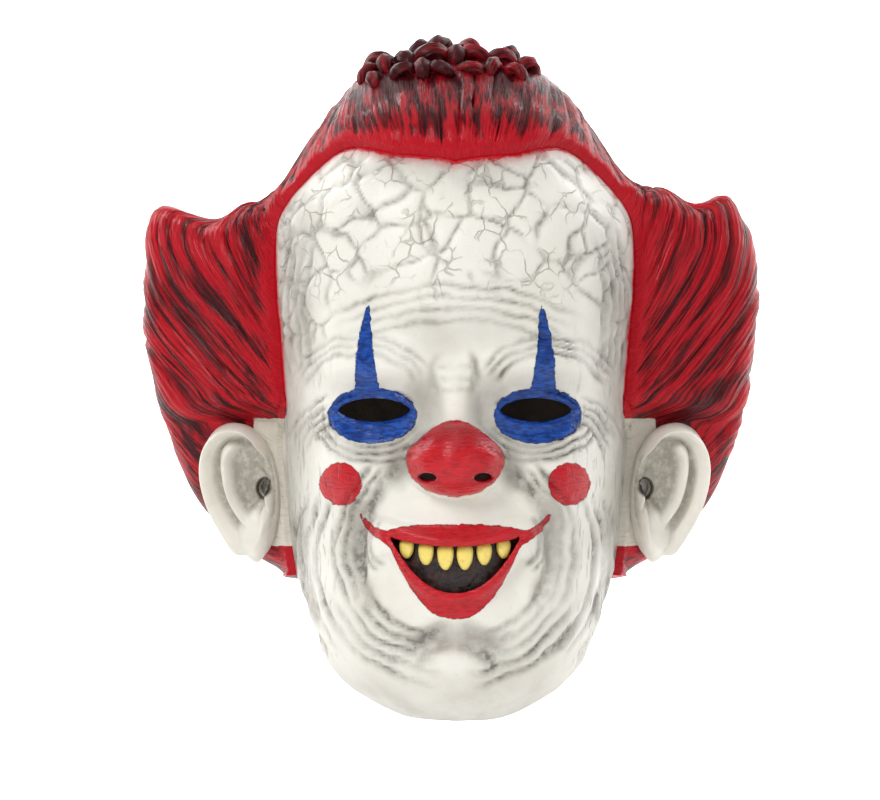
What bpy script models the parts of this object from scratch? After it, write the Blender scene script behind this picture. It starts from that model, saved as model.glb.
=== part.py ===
"""Full-head clown mask of cast latex: a face casting, a hood of moulded hair, two ears, a mouth
lining and six teeth, as worn. +X is the viewer's right, the face looks along -Y and +Z is up.
The origin is the head seat, the inside of the hood at the crown on the middle line."""

import math

import bmesh
import bpy
import numpy as np
from mathutils import Matrix, Vector

# Overall sizes, in metres. MASK_HEIGHT runs from the chin rim to the inside of the crown.
MASK_HEIGHT = 0.2945
CHIN_BELOW_EYES = 0.1395
FACE_HALF_WIDTH = 0.078
FACE_DEPTH = 0.097
BACK_DEPTH = 0.114
HAIR_FLARE = 0.052
HORN_LIFT = 0.011

# Walls and the clearances between bonded castings.
FACE_WALL = 0.0022
HAIR_WALL = 0.0024
LINING_WALL = 0.0015
LAP = 0.006
BOND_GAP = 0.0005
LAP_SINK = 0.0009
LINING_GAP = 0.0008

# Angles round the head, in degrees from the front. Below the sideburns the hair starts behind
# the ears.
HAIRLINE_ANGLE = 66.0
BEHIND_EAR_ANGLE = 78.0
SIDEBURN_ABOVE_EYES = 0.001
SIDEBURN_HEIGHT = 0.012
FLARE_ANGLE = 97.0
FLARE_END_ANGLE = 168.0

# Rim of the neck opening: how far it rises from the chin to the ears.
RIM_RISE = 0.0645

# Eyes.
EYE_OFFSET = 0.036
EYE_SLIT_WIDTH = 0.032
EYE_SLIT_HEIGHT = 0.0105
LID_SWELL = 0.0022
LID_BELOW_EYES = 0.003
LID_HALF_HEIGHT = 0.012
SOCKET_DEPTH = 0.0075
SOCKET_HALF_HEIGHT = 0.016

# Nose.
NOSE_BELOW_EYES = 0.0215
NOSE_WIDTH = 0.047
NOSE_HEIGHT = 0.036
NOSE_REACH = 0.025
BRIDGE_REACH = 0.009
BRIDGE_BELOW_EYES = 0.002
NOSTRIL_OFFSET = 0.0125
NOSTRIL_DROP = 0.0085
NOSTRIL_WIDTH = 0.0085
NOSTRIL_HEIGHT = 0.0046

# Mouth: the smile's corners, the opening and the lips round it.
MOUTH_BELOW_EYES = 0.0565
MOUTH_WIDTH = 0.058
MOUTH_TOP_SAG = 0.004
MOUTH_DEPTH = 0.0245
LIP_WIDTH = 0.0095
LIP_SWELL = 0.0045
LINING_MARGIN = 0.013

# Teeth.
TOOTH_WIDTH = 0.0072
TOOTH_PITCH = 0.0088
TOOTH_THICKNESS = 0.003
TOOTH_LENGTH = 0.0095
TOOTH_BEVEL = 0.0009

# Ears. Their root stands just clear of the face's side.
EAR_ROOT_CLEARANCE = 0.0005
EAR_ROOT_TO_MIDDLE = 0.014
EAR_BELOW_EYES = 0.035
EAR_HEIGHT = 0.061
EAR_WIDTH = 0.036
EAR_ROOT_BLEND = 0.004
EAR_RELIEF = 0.0085
EAR_BEHIND_HEAD_SEAT = 0.045
EAR_TILT = 16.0
CANAL_RADIUS = 0.0042
CUTTER_SPARE = 0.03

# Levels measured from the head seat.
TOP_Z = -BOND_GAP
CHIN_Z = TOP_Z - MASK_HEIGHT
EYE_Z = CHIN_Z + CHIN_BELOW_EYES
MOUTH_Z = EYE_Z - MOUTH_BELOW_EYES
NOSE_Z = EYE_Z - NOSE_BELOW_EYES
EAR_Z = EYE_Z - EAR_BELOW_EYES
MOUTH_HALF = MOUTH_WIDTH / 2
EAR_ROOT = FACE_HALF_WIDTH + EAR_ROOT_CLEARANCE
EAR_OFFSET = EAR_ROOT + EAR_ROOT_TO_MIDDLE

# Sections of the bare head with its hair volume. height is a share of MASK_HEIGHT from the chin
# rim, half_width of FACE_HALF_WIDTH, front of FACE_DEPTH, back of BACK_DEPTH, flare of HAIR_FLARE.
SECTIONS = [
    # height, half_width, front, back, flare
    (0.000, 0.360, 0.720, 0.50, 0.00),
    (0.020, 0.500, 0.840, 0.56, 0.00),
    (0.050, 0.680, 0.935, 0.62, 0.00),
    (0.090, 0.800, 0.980, 0.68, 0.00),
    (0.131, 0.845, 1.000, 0.73, 0.00),
    (0.185, 0.905, 0.998, 0.79, 0.00),
    (0.226, 0.930, 0.990, 0.83, 0.05),
    (0.267, 0.950, 0.985, 0.87, 0.40),
    (0.300, 0.962, 0.983, 0.90, 0.58),
    (0.355, 0.976, 0.985, 0.94, 0.76),
    (0.416, 0.990, 0.990, 0.97, 0.88),
    (0.500, 1.020, 1.000, 1.00, 0.96),
    (0.576, 1.045, 1.005, 1.01, 0.96),
    (0.654, 1.070, 1.000, 1.01, 0.95),
    (0.705, 1.080, 0.990, 1.00, 0.91),
    (0.730, 1.085, 0.983, 0.99, 0.75),
    (0.745, 1.085, 0.976, 0.98, 0.38),
    (0.759, 1.080, 0.970, 0.97, 0.06),
    (0.786, 1.040, 0.952, 0.94, 0.00),
    (0.824, 0.935, 0.920, 0.89, 0.00),
    (0.881, 0.780, 0.830, 0.78, 0.00),
    (0.929, 0.650, 0.700, 0.64, 0.00),
    (0.966, 0.510, 0.540, 0.49, 0.00),
    (0.988, 0.380, 0.380, 0.34, 0.00),
    (1.000, 0.000, 0.000, 0.00, 0.00),
]
SECTION_POWER = 2.4

# The neck rim: share of RIM_RISE at each angle from the front.
RIM_ANGLES = [0, 16, 30, 42, 52, 60, 66, 72, 180]
RIM_SHARES = [0, 0.015, 0.075, 0.20, 0.42, 0.70, 0.90, 1.0, 1.0]

# Soft forms of the face. across and the radii are shares of FACE_HALF_WIDTH, above_eyes too.
FACE_FORMS = [
    # name, across, above_eyes, half_width, half_height, push
    ("brow", 0.42, 0.26, 0.44, 0.20, 0.075),
    ("brow_dome", 0.00, 0.62, 0.85, 0.55, 0.040),
    ("temple", 0.92, 0.40, 0.28, 0.50, -0.045),
    ("cheek", 0.64, -0.36, 0.36, 0.32, 0.085),
    ("muzzle", 0.00, -0.80, 0.62, 0.50, 0.075),
    ("smile_fold", 0.57, -0.78, 0.13, 0.34, -0.040),
    ("jowl", 0.60, -1.12, 0.30, 0.34, 0.050),
    ("chin_dip", 0.00, -1.27, 0.42, 0.12, -0.040),
    ("chin", 0.00, -1.50, 0.40, 0.30, 0.085),
]

# Guide strands of the hair, from the hairline over the flare to the middle of the back. Azimuths
# are in degrees from the front, and heights are shares of MASK_HEIGHT from the chin rim.
STRANDS = [
    # name, start_azimuth, start_height, flare_azimuth, flare_height, end_height
    ("nape", 78, 0.218, 108, 0.216, 0.212),
    ("lobe", 78, 0.310, 104, 0.330, 0.330),
    ("ear", 78, 0.435, 101, 0.450, 0.450),
    ("sideburn", 66, 0.486, 98, 0.560, 0.580),
    ("horn", 66, 0.590, 97, 0.660, 0.700),
    ("temple", 66, 0.715, 97, 0.742, 0.800),
    ("notch", 62, 0.795, 92, 0.800, 0.880),
    ("recess", 42, 0.868, 88, 0.910, 0.950),
    ("parting", 17, 0.860, 60, 0.975, 0.980),
    ("peak", 0, 0.850, 0, 0.990, 0.996),
]
HEAD_CENTRE_ABOVE_EYES = 0.020

# Moulded locks: how many across half the head, and how proud. The crest rolls up off the skin.
LOCK_COUNT = 6.5
LOCK_RELIEF = 0.0034
CREST_ROLL = 0.005
TUFT_REACH = 0.007
TUFT_SPREAD = 0.013
# Tufts on the crest: across and along the head, in shares of FACE_HALF_WIDTH.
TUFTS = [(0.00, -0.16), (0.36, -0.10), (0.20, 0.22)]

# Mesh density.
FACE_COLUMN_LEVELS = [(0, 0.0), (13, 0.48), (20, 1.0)]
FACE_ROW_LEVELS = [(0, 0.0), (4, 0.165), (26, 0.60), (32, 1.0)]
HAIR_COLUMNS = 18
HAIR_ROWS = int(4 * LOCK_COUNT)
EAR_SPOKES = 18
EAR_RINGS = 12

IVORY = (0.80, 0.76, 0.66, 1.0)
HAIR_RED = (0.42, 0.012, 0.016, 1.0)
MOUTH_BLACK = (0.02, 0.016, 0.014, 1.0)
TOOTH_YELLOW = (0.85, 0.68, 0.12, 1.0)


def read_smoothly(at, places, values):
    """Reads a table with a monotone cubic, so that it never overshoots its own rows."""
    at, places = np.asarray(at, float), np.asarray(places, float)
    values = np.asarray(values, float)
    steps = np.diff(places)
    slopes = np.diff(values) / steps
    inner = np.where(
        slopes[:-1] * slopes[1:] > 0,
        2 * slopes[:-1] * slopes[1:] / (slopes[:-1] + slopes[1:] + 1e-12),
        0.0,
    )
    tangents = np.concatenate([[slopes[0]], inner, [slopes[-1]]])
    at = np.clip(at, places[0], places[-1])
    row = np.clip(np.searchsorted(places, at, side="right") - 1, 0, len(steps) - 1)
    share = (at - places[row]) / steps[row]
    rest = 1 - share
    return (
        values[row] * (1 + 2 * share) * rest**2
        + tangents[row] * steps[row] * share * rest**2
        + values[row + 1] * share**2 * (3 - 2 * share)
        - tangents[row + 1] * steps[row] * share**2 * rest
    )


def smooth_step(value):
    value = np.clip(value, 0, 1)
    return value * value * (3 - 2 * value)


def unit(vectors):
    return vectors / np.linalg.norm(vectors, axis=-1, keepdims=True)


def section_column(z, column, size):
    """A column of SECTIONS at heights z, in metres. Squares are read, so the crown is round."""
    heights = [row[0] for row in SECTIONS]
    squares = [row[column] ** 2 for row in SECTIONS]
    share = (np.asarray(z, float) - CHIN_Z) / MASK_HEIGHT
    return size * np.sqrt(np.maximum(read_smoothly(share, heights, squares), 1e-10))


def side_angle(z):
    """Where the hair starts at the sides, in degrees from the front."""
    low = smooth_step((EYE_Z + SIDEBURN_ABOVE_EYES - z) / SIDEBURN_HEIGHT + 0.5)
    return HAIRLINE_ANGLE + (BEHIND_EAR_ANGLE - HAIRLINE_ANGLE) * low


def flare_share(azimuth, z):
    """How much of the flare shows at an angle from the front, in degrees."""
    start = side_angle(z) - 1
    rise = np.sin(np.clip((azimuth - start) / (FLARE_ANGLE - start), 0, 1) * math.pi / 2) ** 1.6
    fall = 1 - smooth_step((azimuth - FLARE_ANGLE) / (FLARE_END_ANGLE - FLARE_ANGLE))
    return rise * fall


def skin_radius(azimuth, z, flared=True):
    """Distance of the skin from the head's upright axis, at angles from the front and heights."""
    angle = np.radians(azimuth)
    across, ahead = np.abs(np.sin(angle)), np.cos(angle)
    half_width = section_column(z, 1, FACE_HALF_WIDTH)
    front = section_column(z, 2, FACE_DEPTH)
    back = section_column(z, 3, BACK_DEPTH)
    depth = np.where(ahead >= 0, front, back)
    power = SECTION_POWER
    head = ((across / half_width) ** power + (np.abs(ahead) / depth) ** power) ** (-1 / power)
    if not flared:
        return head
    return head + section_column(z, 4, HAIR_FLARE) * flare_share(np.abs(azimuth), z)


def dome(x, z, centre_x, centre_z, half_width, half_height, power=2.0):
    """A round swelling: 1 at its centre and 0 from its edge outwards."""
    distance = ((x - centre_x) / half_width) ** 2 + ((z - centre_z) / half_height) ** 2
    return np.clip(1 - distance, 0, 1) ** power


def mouth_top(x):
    return MOUTH_Z - MOUTH_TOP_SAG * (1 - np.clip(np.abs(x) / MOUTH_HALF, 0, 1) ** 2)


def mouth_bottom(x):
    return MOUTH_Z - MOUTH_DEPTH * (1 - np.clip(np.abs(x) / MOUTH_HALF, 0, 1) ** 2.2)


def lip_swelling(x, z):
    """The lips: a rounded roll round the opening, widest under it."""
    middle = (mouth_top(x) + mouth_bottom(x)) / 2
    reach = (mouth_top(x) - mouth_bottom(x)) / 2 + LIP_WIDTH
    upright = np.abs(z - middle) / reach
    sideways = np.abs(x) / (MOUTH_HALF + 0.8 * LIP_WIDTH)
    return smooth_step((1 - np.maximum(upright, sideways**3)) * 2.6)


def face_push(x, z):
    """How far the face stands out of the plain section, towards -Y."""
    x = np.abs(x)
    push = np.zeros_like(x)
    size = FACE_HALF_WIDTH
    for _name, across, above, half_width, half_height, share in FACE_FORMS:
        centre_z = EYE_Z + above * size
        form = dome(x, z, across * size, centre_z, half_width * size, half_height * size)
        push += share * size * form
    push -= SOCKET_DEPTH * dome(x, z, EYE_OFFSET, EYE_Z, 0.66 * EYE_SLIT_WIDTH,
                                SOCKET_HALF_HEIGHT, 1.5)
    push += LID_SWELL * dome(x, z, EYE_OFFSET, EYE_Z - LID_BELOW_EYES, 0.62 * EYE_SLIT_WIDTH,
                             LID_HALF_HEIGHT, 1.0)
    bulb = dome(x, z, 0, NOSE_Z, NOSE_WIDTH / 2, NOSE_HEIGHT / 2, 0.62)
    bridge_z = EYE_Z - BRIDGE_BELOW_EYES
    bridge = dome(x, z, 0, bridge_z, 0.26 * NOSE_WIDTH, NOSE_HEIGHT * 0.62, 1.2)
    push += np.maximum(NOSE_REACH * bulb, BRIDGE_REACH * bridge)
    return push


def face_points(azimuth, z, with_lips=True):
    """Points of the face's outer skin."""
    radius = skin_radius(azimuth, z, flared=False)
    angle = np.radians(azimuth)
    x, y = radius * np.sin(angle), -radius * np.cos(angle)
    push = face_push(x, z)
    if with_lips:
        push = push + LIP_SWELL * lip_swelling(x, z)
    return np.stack([x, y - push, z + 0 * x], axis=-1)


def cast_to_skin(directions):
    """Where rays from the head's centre leave the skin, by halving."""
    centre = np.array([0.0, 0.0, EYE_Z + HEAD_CENTRE_ABOVE_EYES])
    near = np.full(len(directions), 0.02)
    far = np.full(len(directions), 2 * (BACK_DEPTH + HAIR_FLARE))
    for _ in range(40):
        middle = (near + far) / 2
        points = centre + directions * middle[:, None]
        azimuth = np.degrees(np.arctan2(np.abs(points[:, 0]), -points[:, 1]))
        inside = np.hypot(points[:, 0], points[:, 1]) < skin_radius(azimuth, points[:, 2])
        inside &= points[:, 2] < TOP_Z
        near = np.where(inside, middle, near)
        far = np.where(inside, far, middle)
    return centre + directions * near[:, None]


def along_rows(rows, share):
    """A smooth curve through unit vectors spaced evenly, read at shares from 0 to 1."""
    places = np.linspace(0, 1, len(rows))
    read = np.stack([read_smoothly(share, places, rows[:, k]) for k in range(3)], axis=-1)
    return unit(read)


def strand_aims(azimuths, heights):
    """Directions, from the head's centre, of places on the skin."""
    z = CHIN_Z + MASK_HEIGHT * np.asarray(heights, float)
    azimuth = np.asarray(azimuths, float)
    radius, angle = skin_radius(azimuth, z), np.radians(azimuth)
    level = z - EYE_Z - HEAD_CENTRE_ABOVE_EYES
    rays = np.stack([radius * np.sin(angle), -radius * np.cos(angle), level], axis=-1)
    return unit(rays)


def through_keys(share, start, middle, end):
    """Runs from start through middle to end, easing a little at each."""
    eased = start + (middle - start) * smooth_step(share * 2)
    eased = eased + (end - middle) * smooth_step(share * 2 - 1)
    straight = start + (middle - start) * np.clip(share * 2, 0, 1)
    straight = straight + (end - middle) * np.clip(share * 2 - 1, 0, 1)
    return 0.65 * straight + 0.35 * eased


def hair_directions(across, along):
    """Directions of hair points: across runs from the nape strand to the peak strand, and along
    from the hairline, over the flare, to the middle of the back. Side strands keep their level
    round the head, and crest strands go straight over it."""
    table = np.array([row[1:] for row in STRANDS], float)
    keys = [
        along_rows(strand_aims(table[:, 0], table[:, 1]), across),
        along_rows(strand_aims(table[:, 2], table[:, 3]), across),
        along_rows(strand_aims(np.full(len(table), 180.0), table[:, 4]), across),
    ]
    over = unit(through_keys(along[:, None], *keys))
    turns = [np.arctan2(key[:, 0], -key[:, 1]) for key in keys]
    turns[2] = np.full_like(across, math.pi)
    slopes = [key[:, 2] / np.hypot(key[:, 0], key[:, 1]) for key in keys]
    turn = through_keys(along, *turns)
    slope = through_keys(along, *slopes)
    level = unit(np.stack([np.sin(turn), -np.cos(turn), slope], axis=-1))
    crest = smooth_step((across - 0.50) / 0.22)[:, None]
    return unit(level * (1 - crest) + over * crest)


def hair_seat(across, along):
    """Points and outward normals of the skin under the hair."""
    step = 0.002
    points = cast_to_skin(hair_directions(across, along))
    low, high = np.clip(across - step, 0, 1), np.clip(across + step, 0, 1)
    upwards = cast_to_skin(hair_directions(high, along))
    upwards -= cast_to_skin(hair_directions(low, along))
    low, high = np.clip(along - step, 0, 1), np.clip(along + step, 0, 1)
    backwards = cast_to_skin(hair_directions(across, high))
    backwards -= cast_to_skin(hair_directions(across, low))
    return points, unit(np.cross(backwards, upwards))


def lock_relief(across, along):
    """Height of the moulded locks over the plain hair: rounded ridges along the strands."""
    ridge = np.abs(np.sin(across * LOCK_COUNT * math.pi))
    return LOCK_RELIEF * ridge**0.7 * smooth_step(along * 7) * smooth_step(across * 8)


def crest_roll(across, along):
    """How far the crest's front rolls up off the skin over the forehead."""
    return CREST_ROLL * smooth_step(across * 4 - 2.6) * smooth_step(along * 6) * (1 - along)


def tuft_push(points):
    """The curled tufts that stand on the crest."""
    push = np.zeros(len(points))
    size = FACE_HALF_WIDTH
    for across, along in TUFTS:
        gap = np.hypot(np.abs(points[:, 0]) - across * size, points[:, 1] - along * size)
        push = np.maximum(push, TUFT_REACH * np.clip(1 - (gap / TUFT_SPREAD) ** 2, 0, 1))
    return push * (points[:, 2] > 0)


def near_ear(points):
    """1 where an ear is bonded on, and 0 away from it."""
    gap = np.hypot(
        (np.abs(points[:, 0]) - EAR_OFFSET) / (0.95 * EAR_WIDTH),
        (points[:, 2] - EAR_Z) / (0.80 * EAR_HEIGHT),
    )
    return smooth_step((1.0 - gap) * 4) * (points[:, 1] < EAR_BEHIND_HEAD_SEAT)


def lift_horns(points):
    """Bends the tip of each flare upwards."""
    across = np.abs(points[:, 0])
    reach = FACE_HALF_WIDTH + HAIR_FLARE
    outer = smooth_step((across - 0.80 * reach) / (0.18 * reach))
    level = (points[:, 2] - EYE_Z) / (TOP_Z - EYE_Z)
    upper = smooth_step((level - 0.36) / 0.16)
    lifted = points.copy()
    lifted[:, 2] += HORN_LIFT * outer * upper
    return lifted


def hair_points(across, along):
    """Points of the hair's outer skin."""
    seat, normals = hair_seat(across, along)
    relief = lock_relief(across, along) * (1 - near_ear(seat)) + tuft_push(seat)
    proud = BOND_GAP + HAIR_WALL + relief + crest_roll(across, along)
    points = lift_horns(seat + normals * proud[:, None])
    middle = (across > 1 - 1e-6) | (along > 1 - 1e-6)
    points[:, 0] = np.where(middle, 0.0, points[:, 0])
    return points


def make_object(name, mesh_data, collection, colour=None, roughness=0.5):
    """Turns a bmesh into a named object, with a material of its own where a colour is given."""
    if all(edge.is_manifold for edge in mesh_data.edges):
        bmesh.ops.recalc_face_normals(mesh_data, faces=mesh_data.faces)
    mesh = bpy.data.meshes.new(name)
    mesh_data.to_mesh(mesh)
    mesh_data.free()
    mesh.shade_smooth()
    obj = bpy.data.objects.new(name, mesh)
    collection.objects.link(obj)
    if colour is None:
        obj.hide_render = True
        obj.display_type = "WIRE"
        return obj
    material = bpy.data.materials.new(name)
    material.use_nodes = True
    shader = material.node_tree.nodes["Principled BSDF"]
    shader.inputs["Base Color"].default_value = colour
    shader.inputs["Roughness"].default_value = roughness
    shader.inputs["Metallic"].default_value = 0.0
    mesh.materials.append(material)
    return obj


def face_outwards(mesh_data):
    """Turns an open skin's faces away from the head's centre."""
    centre = Vector((0, 0, EYE_Z))
    outward = sum((face.calc_center_median() - centre).dot(face.normal) for face in mesh_data.faces)
    if outward < 0:
        bmesh.ops.reverse_faces(mesh_data, faces=mesh_data.faces)


def mapped_grid(columns, rows, place):
    """A grid whose corners place() sends from shares (0 to 1, 0 to 1) to the skin."""
    grid = bmesh.new()
    bmesh.ops.create_grid(grid, x_segments=columns, y_segments=rows, size=0.5)
    shares = np.array([vertex.co[:2] for vertex in grid.verts]) + 0.5
    points = place(np.clip(shares[:, 0], 0, 1), np.clip(shares[:, 1], 0, 1))
    for vertex, point in zip(grid.verts, points):
        vertex.co = point
    grid.normal_update()
    face_outwards(grid)
    return grid


def add_mirror(obj):
    mirror = obj.modifiers.new("mirror", "MIRROR")
    mirror.use_axis = (True, False, False)
    mirror.use_clip = True
    mirror.merge_threshold = 0.00005


def add_wall(obj, thickness):
    """Gives an open skin its wall, inwards."""
    wall = obj.modifiers.new("wall", "SOLIDIFY")
    wall.thickness = thickness
    wall.offset = -1.0
    wall.use_even_offset = False


def add_cut(obj, cutter):
    cut = obj.modifiers.new("cut_" + cutter.name, "BOOLEAN")
    cut.operation = "DIFFERENCE"
    cut.solver = "EXACT"
    cut.object = cutter


def rim_level(azimuth):
    return CHIN_Z + RIM_RISE * read_smoothly(azimuth, RIM_ANGLES, RIM_SHARES)


def hairline_level(azimuth):
    """Height of the hair's front edge over the forehead, from the upper strands' starts."""
    rows = [row for row in reversed(STRANDS) if row[2] > 0.70]
    height = read_smoothly(azimuth, [row[1] for row in rows], [row[2] for row in rows])
    return CHIN_Z + MASK_HEIGHT * height


def face_grid_points(across, up):
    """The half face from the middle line to the lap under the hair, and from rim to hairline."""
    columns, turns = zip(*FACE_COLUMN_LEVELS)
    rows, rises = zip(*FACE_ROW_LEVELS)
    turn = read_smoothly(across * columns[-1], columns, turns)
    rise = read_smoothly(up * rows[-1], rows, rises)
    azimuth = turn * HAIRLINE_ANGLE
    for _ in range(3):
        bottom = rim_level(azimuth)
        hairline = hairline_level(np.minimum(azimuth, HAIRLINE_ANGLE))
        z = bottom + (hairline + LAP - bottom) * rise
        azimuth = turn * (side_angle(z) + math.degrees(LAP / FACE_HALF_WIDTH))
    under_hair = np.maximum(azimuth - side_angle(z) + 3, 0) / 3
    under_hair = smooth_step(np.maximum(under_hair, (z - hairline) / LAP + 0.4))
    points = face_points(azimuth, z)
    points[:, 0] -= LAP_SINK * under_hair * np.sin(np.radians(azimuth))
    points[:, 1] += LAP_SINK * under_hair * np.cos(np.radians(azimuth))
    return points


def outline_prism(bm, outline, y_front, y_back):
    """Adds a prism along Y to a bmesh, from an outline of (x, z) points."""
    ring = bmesh.ops.create_circle(bm, cap_ends=True, segments=len(outline), radius=0.01)["verts"]
    for vertex, (x, z) in zip(ring, outline):
        vertex.co = (x, y_front, z)
    cap = next(face for face in ring[0].link_faces if all(v in ring for v in face.verts))
    moved = bmesh.ops.extrude_face_region(bm, geom=[cap])["geom"]
    far = [item for item in moved if isinstance(item, bmesh.types.BMVert)]
    bmesh.ops.translate(bm, verts=far, vec=(0, y_back - y_front, 0))


def oval(centre_x, centre_z, width, height, count, point=1.0):
    """Points of an oval. A point over 1 sharpens its two side corners, as an eyelid's."""
    turns = np.arange(count) * 2 * math.pi / count
    rise = np.sign(np.sin(turns)) * np.abs(np.sin(turns)) ** point
    return [
        (centre_x + width / 2 * c, centre_z + height / 2 * r)
        for c, r in zip(np.cos(turns), rise)
    ]


def mouth_outline(count):
    """The smile's outline: along the top edge to one corner and back along the bottom."""
    shares = np.cos(np.arange(count + 1) * math.pi / count)
    x = MOUTH_HALF * shares
    top = list(zip(x, mouth_top(x)))
    bottom = list(zip(x[::-1], mouth_bottom(x[::-1])))
    return top + bottom[1:-1]


def build_face(parts, cutters):
    """The face casting, with its eye slits, nostrils and mouth cut through."""
    grid = mapped_grid(FACE_COLUMN_LEVELS[-1][0], FACE_ROW_LEVELS[-1][0], face_grid_points)
    face = make_object("face_skin", grid, parts, IVORY, 0.45)
    add_mirror(face)
    add_wall(face, FACE_WALL)
    holes = bmesh.new()
    front = -(FACE_DEPTH + NOSE_REACH + CUTTER_SPARE)
    for side in (-1, 1):
        slit = oval(side * EYE_OFFSET, EYE_Z, EYE_SLIT_WIDTH, EYE_SLIT_HEIGHT, 20, 1.3)
        outline_prism(holes, slit, front, -0.45 * FACE_DEPTH)
        nostril = oval(side * NOSTRIL_OFFSET, NOSE_Z - NOSTRIL_DROP, NOSTRIL_WIDTH,
                       NOSTRIL_HEIGHT, 12)
        outline_prism(holes, nostril, front, -(FACE_DEPTH + 0.1 * NOSE_REACH))
    outline_prism(holes, mouth_outline(14), front, -0.72 * FACE_DEPTH)
    add_cut(face, make_object("face_holes", holes, cutters))
    return face


def build_lining(parts):
    """The black wall behind the mouth, on the inside of the face."""
    half_width = MOUTH_HALF + LINING_MARGIN
    low = MOUTH_Z - MOUTH_DEPTH - LINING_MARGIN
    high = MOUTH_Z + LINING_MARGIN

    def place(across, up):
        x = half_width * (2 * across - 1)
        z = low + (high - low) * up
        points, normals = face_frame(x, z)
        return points - normals * (FACE_WALL + LINING_GAP)

    lining = make_object("mouth_lining", mapped_grid(12, 7, place), parts, MOUTH_BLACK, 0.3)
    add_wall(lining, LINING_WALL)
    return lining


def azimuth_at(x, z, flared=True):
    """The angle from the front at which the skin reaches sideways to x, by halving."""
    low, high = np.zeros_like(x), np.full_like(x, FLARE_ANGLE)
    for _ in range(40):
        middle = (low + high) / 2
        short = skin_radius(middle, z, flared) * np.sin(np.radians(middle)) < np.abs(x)
        low, high = np.where(short, middle, low), np.where(short, high, middle)
    return (low + high) / 2


def face_frame(x, z):
    """Points and outward normals of the lipless face at places seen from the front."""
    azimuth = azimuth_at(x, z, flared=False) * np.sign(x)
    step = 0.05
    points = face_points(azimuth, z, False)
    sideways = face_points(azimuth + step, z, False) - face_points(azimuth - step, z, False)
    upwards = face_points(azimuth, z + 1e-4, False) - face_points(azimuth, z - 1e-4, False)
    return points, unit(np.cross(sideways, upwards))


def build_teeth(parts):
    """Six teeth in an arch on the lining, the middle two longest."""
    for index in range(6):
        place = index - 2.5
        x = place * TOOTH_PITCH
        length = TOOTH_LENGTH * (1.18 - 0.13 * abs(place))
        top = float(mouth_top(x)) - BOND_GAP
        points, normals = face_frame(np.array([x]), np.array([top - length / 2]))
        turn = math.atan2(normals[0, 0], -normals[0, 1])
        lean = math.asin(normals[0, 2])
        tooth = bmesh.new()
        bmesh.ops.create_cube(tooth, size=1.0)
        width = TOOTH_WIDTH * (1 - 0.06 * abs(place))
        for vertex in tooth.verts:
            narrow = 1.0 if vertex.co.z > 0 else 0.62
            vertex.co.x *= width * narrow
            vertex.co.y *= TOOTH_THICKNESS
            vertex.co.z *= length
        obj = make_object(f"tooth_{index + 1}", tooth, parts, TOOTH_YELLOW, 0.35)
        back = FACE_WALL - TOOTH_THICKNESS / 2
        obj.location = points[0] - normals[0] * back
        obj.rotation_euler = (-lean, 0, turn)
        bevel = obj.modifiers.new("rounded", "BEVEL")
        bevel.width = TOOTH_BEVEL
        bevel.segments = 1


def ear_seat(x, z):
    """Points and outward normals under an ear, seen from the front. Near the face the seat runs
    straight on from the hair behind the ear."""
    inner = np.minimum(x - EAR_ROOT - EAR_ROOT_BLEND, 0.0)
    azimuth = azimuth_at(x - inner, z)

    def seat(angle, level):
        radius = skin_radius(angle, level)
        turn = np.radians(angle)
        return np.stack([radius * np.sin(turn), -radius * np.cos(turn), level], axis=-1)

    sideways = seat(azimuth + 0.05, z) - seat(azimuth - 0.05, z)
    upwards = seat(azimuth, z + 1e-4) - seat(azimuth, z - 1e-4)
    on_line = seat(azimuth, z) + sideways / sideways[:, :1] * inner[:, None]
    return on_line, unit(np.cross(sideways, upwards))


def ear_outline(turn):
    """An ear's edge seen from the front: out is away from the head, up is up."""
    out, up = np.cos(turn), np.sin(turn)
    width = EAR_WIDTH / 2 * (0.80 + 0.20 * up - 0.12 * up**2 * (up < 0))
    return width * out, EAR_HEIGHT / 2 * up


def ear_height(ring, turn):
    """Relief of an ear over its seat: helix, groove, inner ridge and bowl, by share of radius."""
    rings = [0.0, 0.22, 0.36, 0.52, 0.64, 0.76, 0.88, 0.96, 1.0]
    heights = [0.22, 0.26, 0.42, 0.86, 0.78, 0.62, 1.0, 0.82, 0.40]
    full = read_smoothly(ring, rings, heights)
    inner_side = smooth_step(-np.cos(turn) * 1.6 - 0.1)
    plain = read_smoothly(ring, [0, 0.4, 0.8, 1.0], [0.22, 0.42, 0.55, 0.30])
    lobe = smooth_step(-np.sin(turn) * 2.2 - 1.0)
    soft = read_smoothly(ring, [0, 0.4, 0.8, 1.0], [0.22, 0.50, 0.62, 0.35])
    mixed = full + (plain - full) * inner_side
    return EAR_RELIEF * (mixed + (soft - mixed) * lobe)


def ear_places(ring, turn):
    """Places seen from the front. The rings close in on the ear canal, near the head."""
    out, up = ear_outline(turn)
    canal_out, canal_up = -0.22 * EAR_WIDTH, -0.05 * EAR_HEIGHT
    out, up = canal_out + (out - canal_out) * ring, canal_up + (up - canal_up) * ring
    tilt = math.radians(EAR_TILT)
    x = EAR_OFFSET + out * math.cos(tilt) + up * math.sin(tilt)
    return x, EAR_Z + up * math.cos(tilt) - out * math.sin(tilt)


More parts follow.
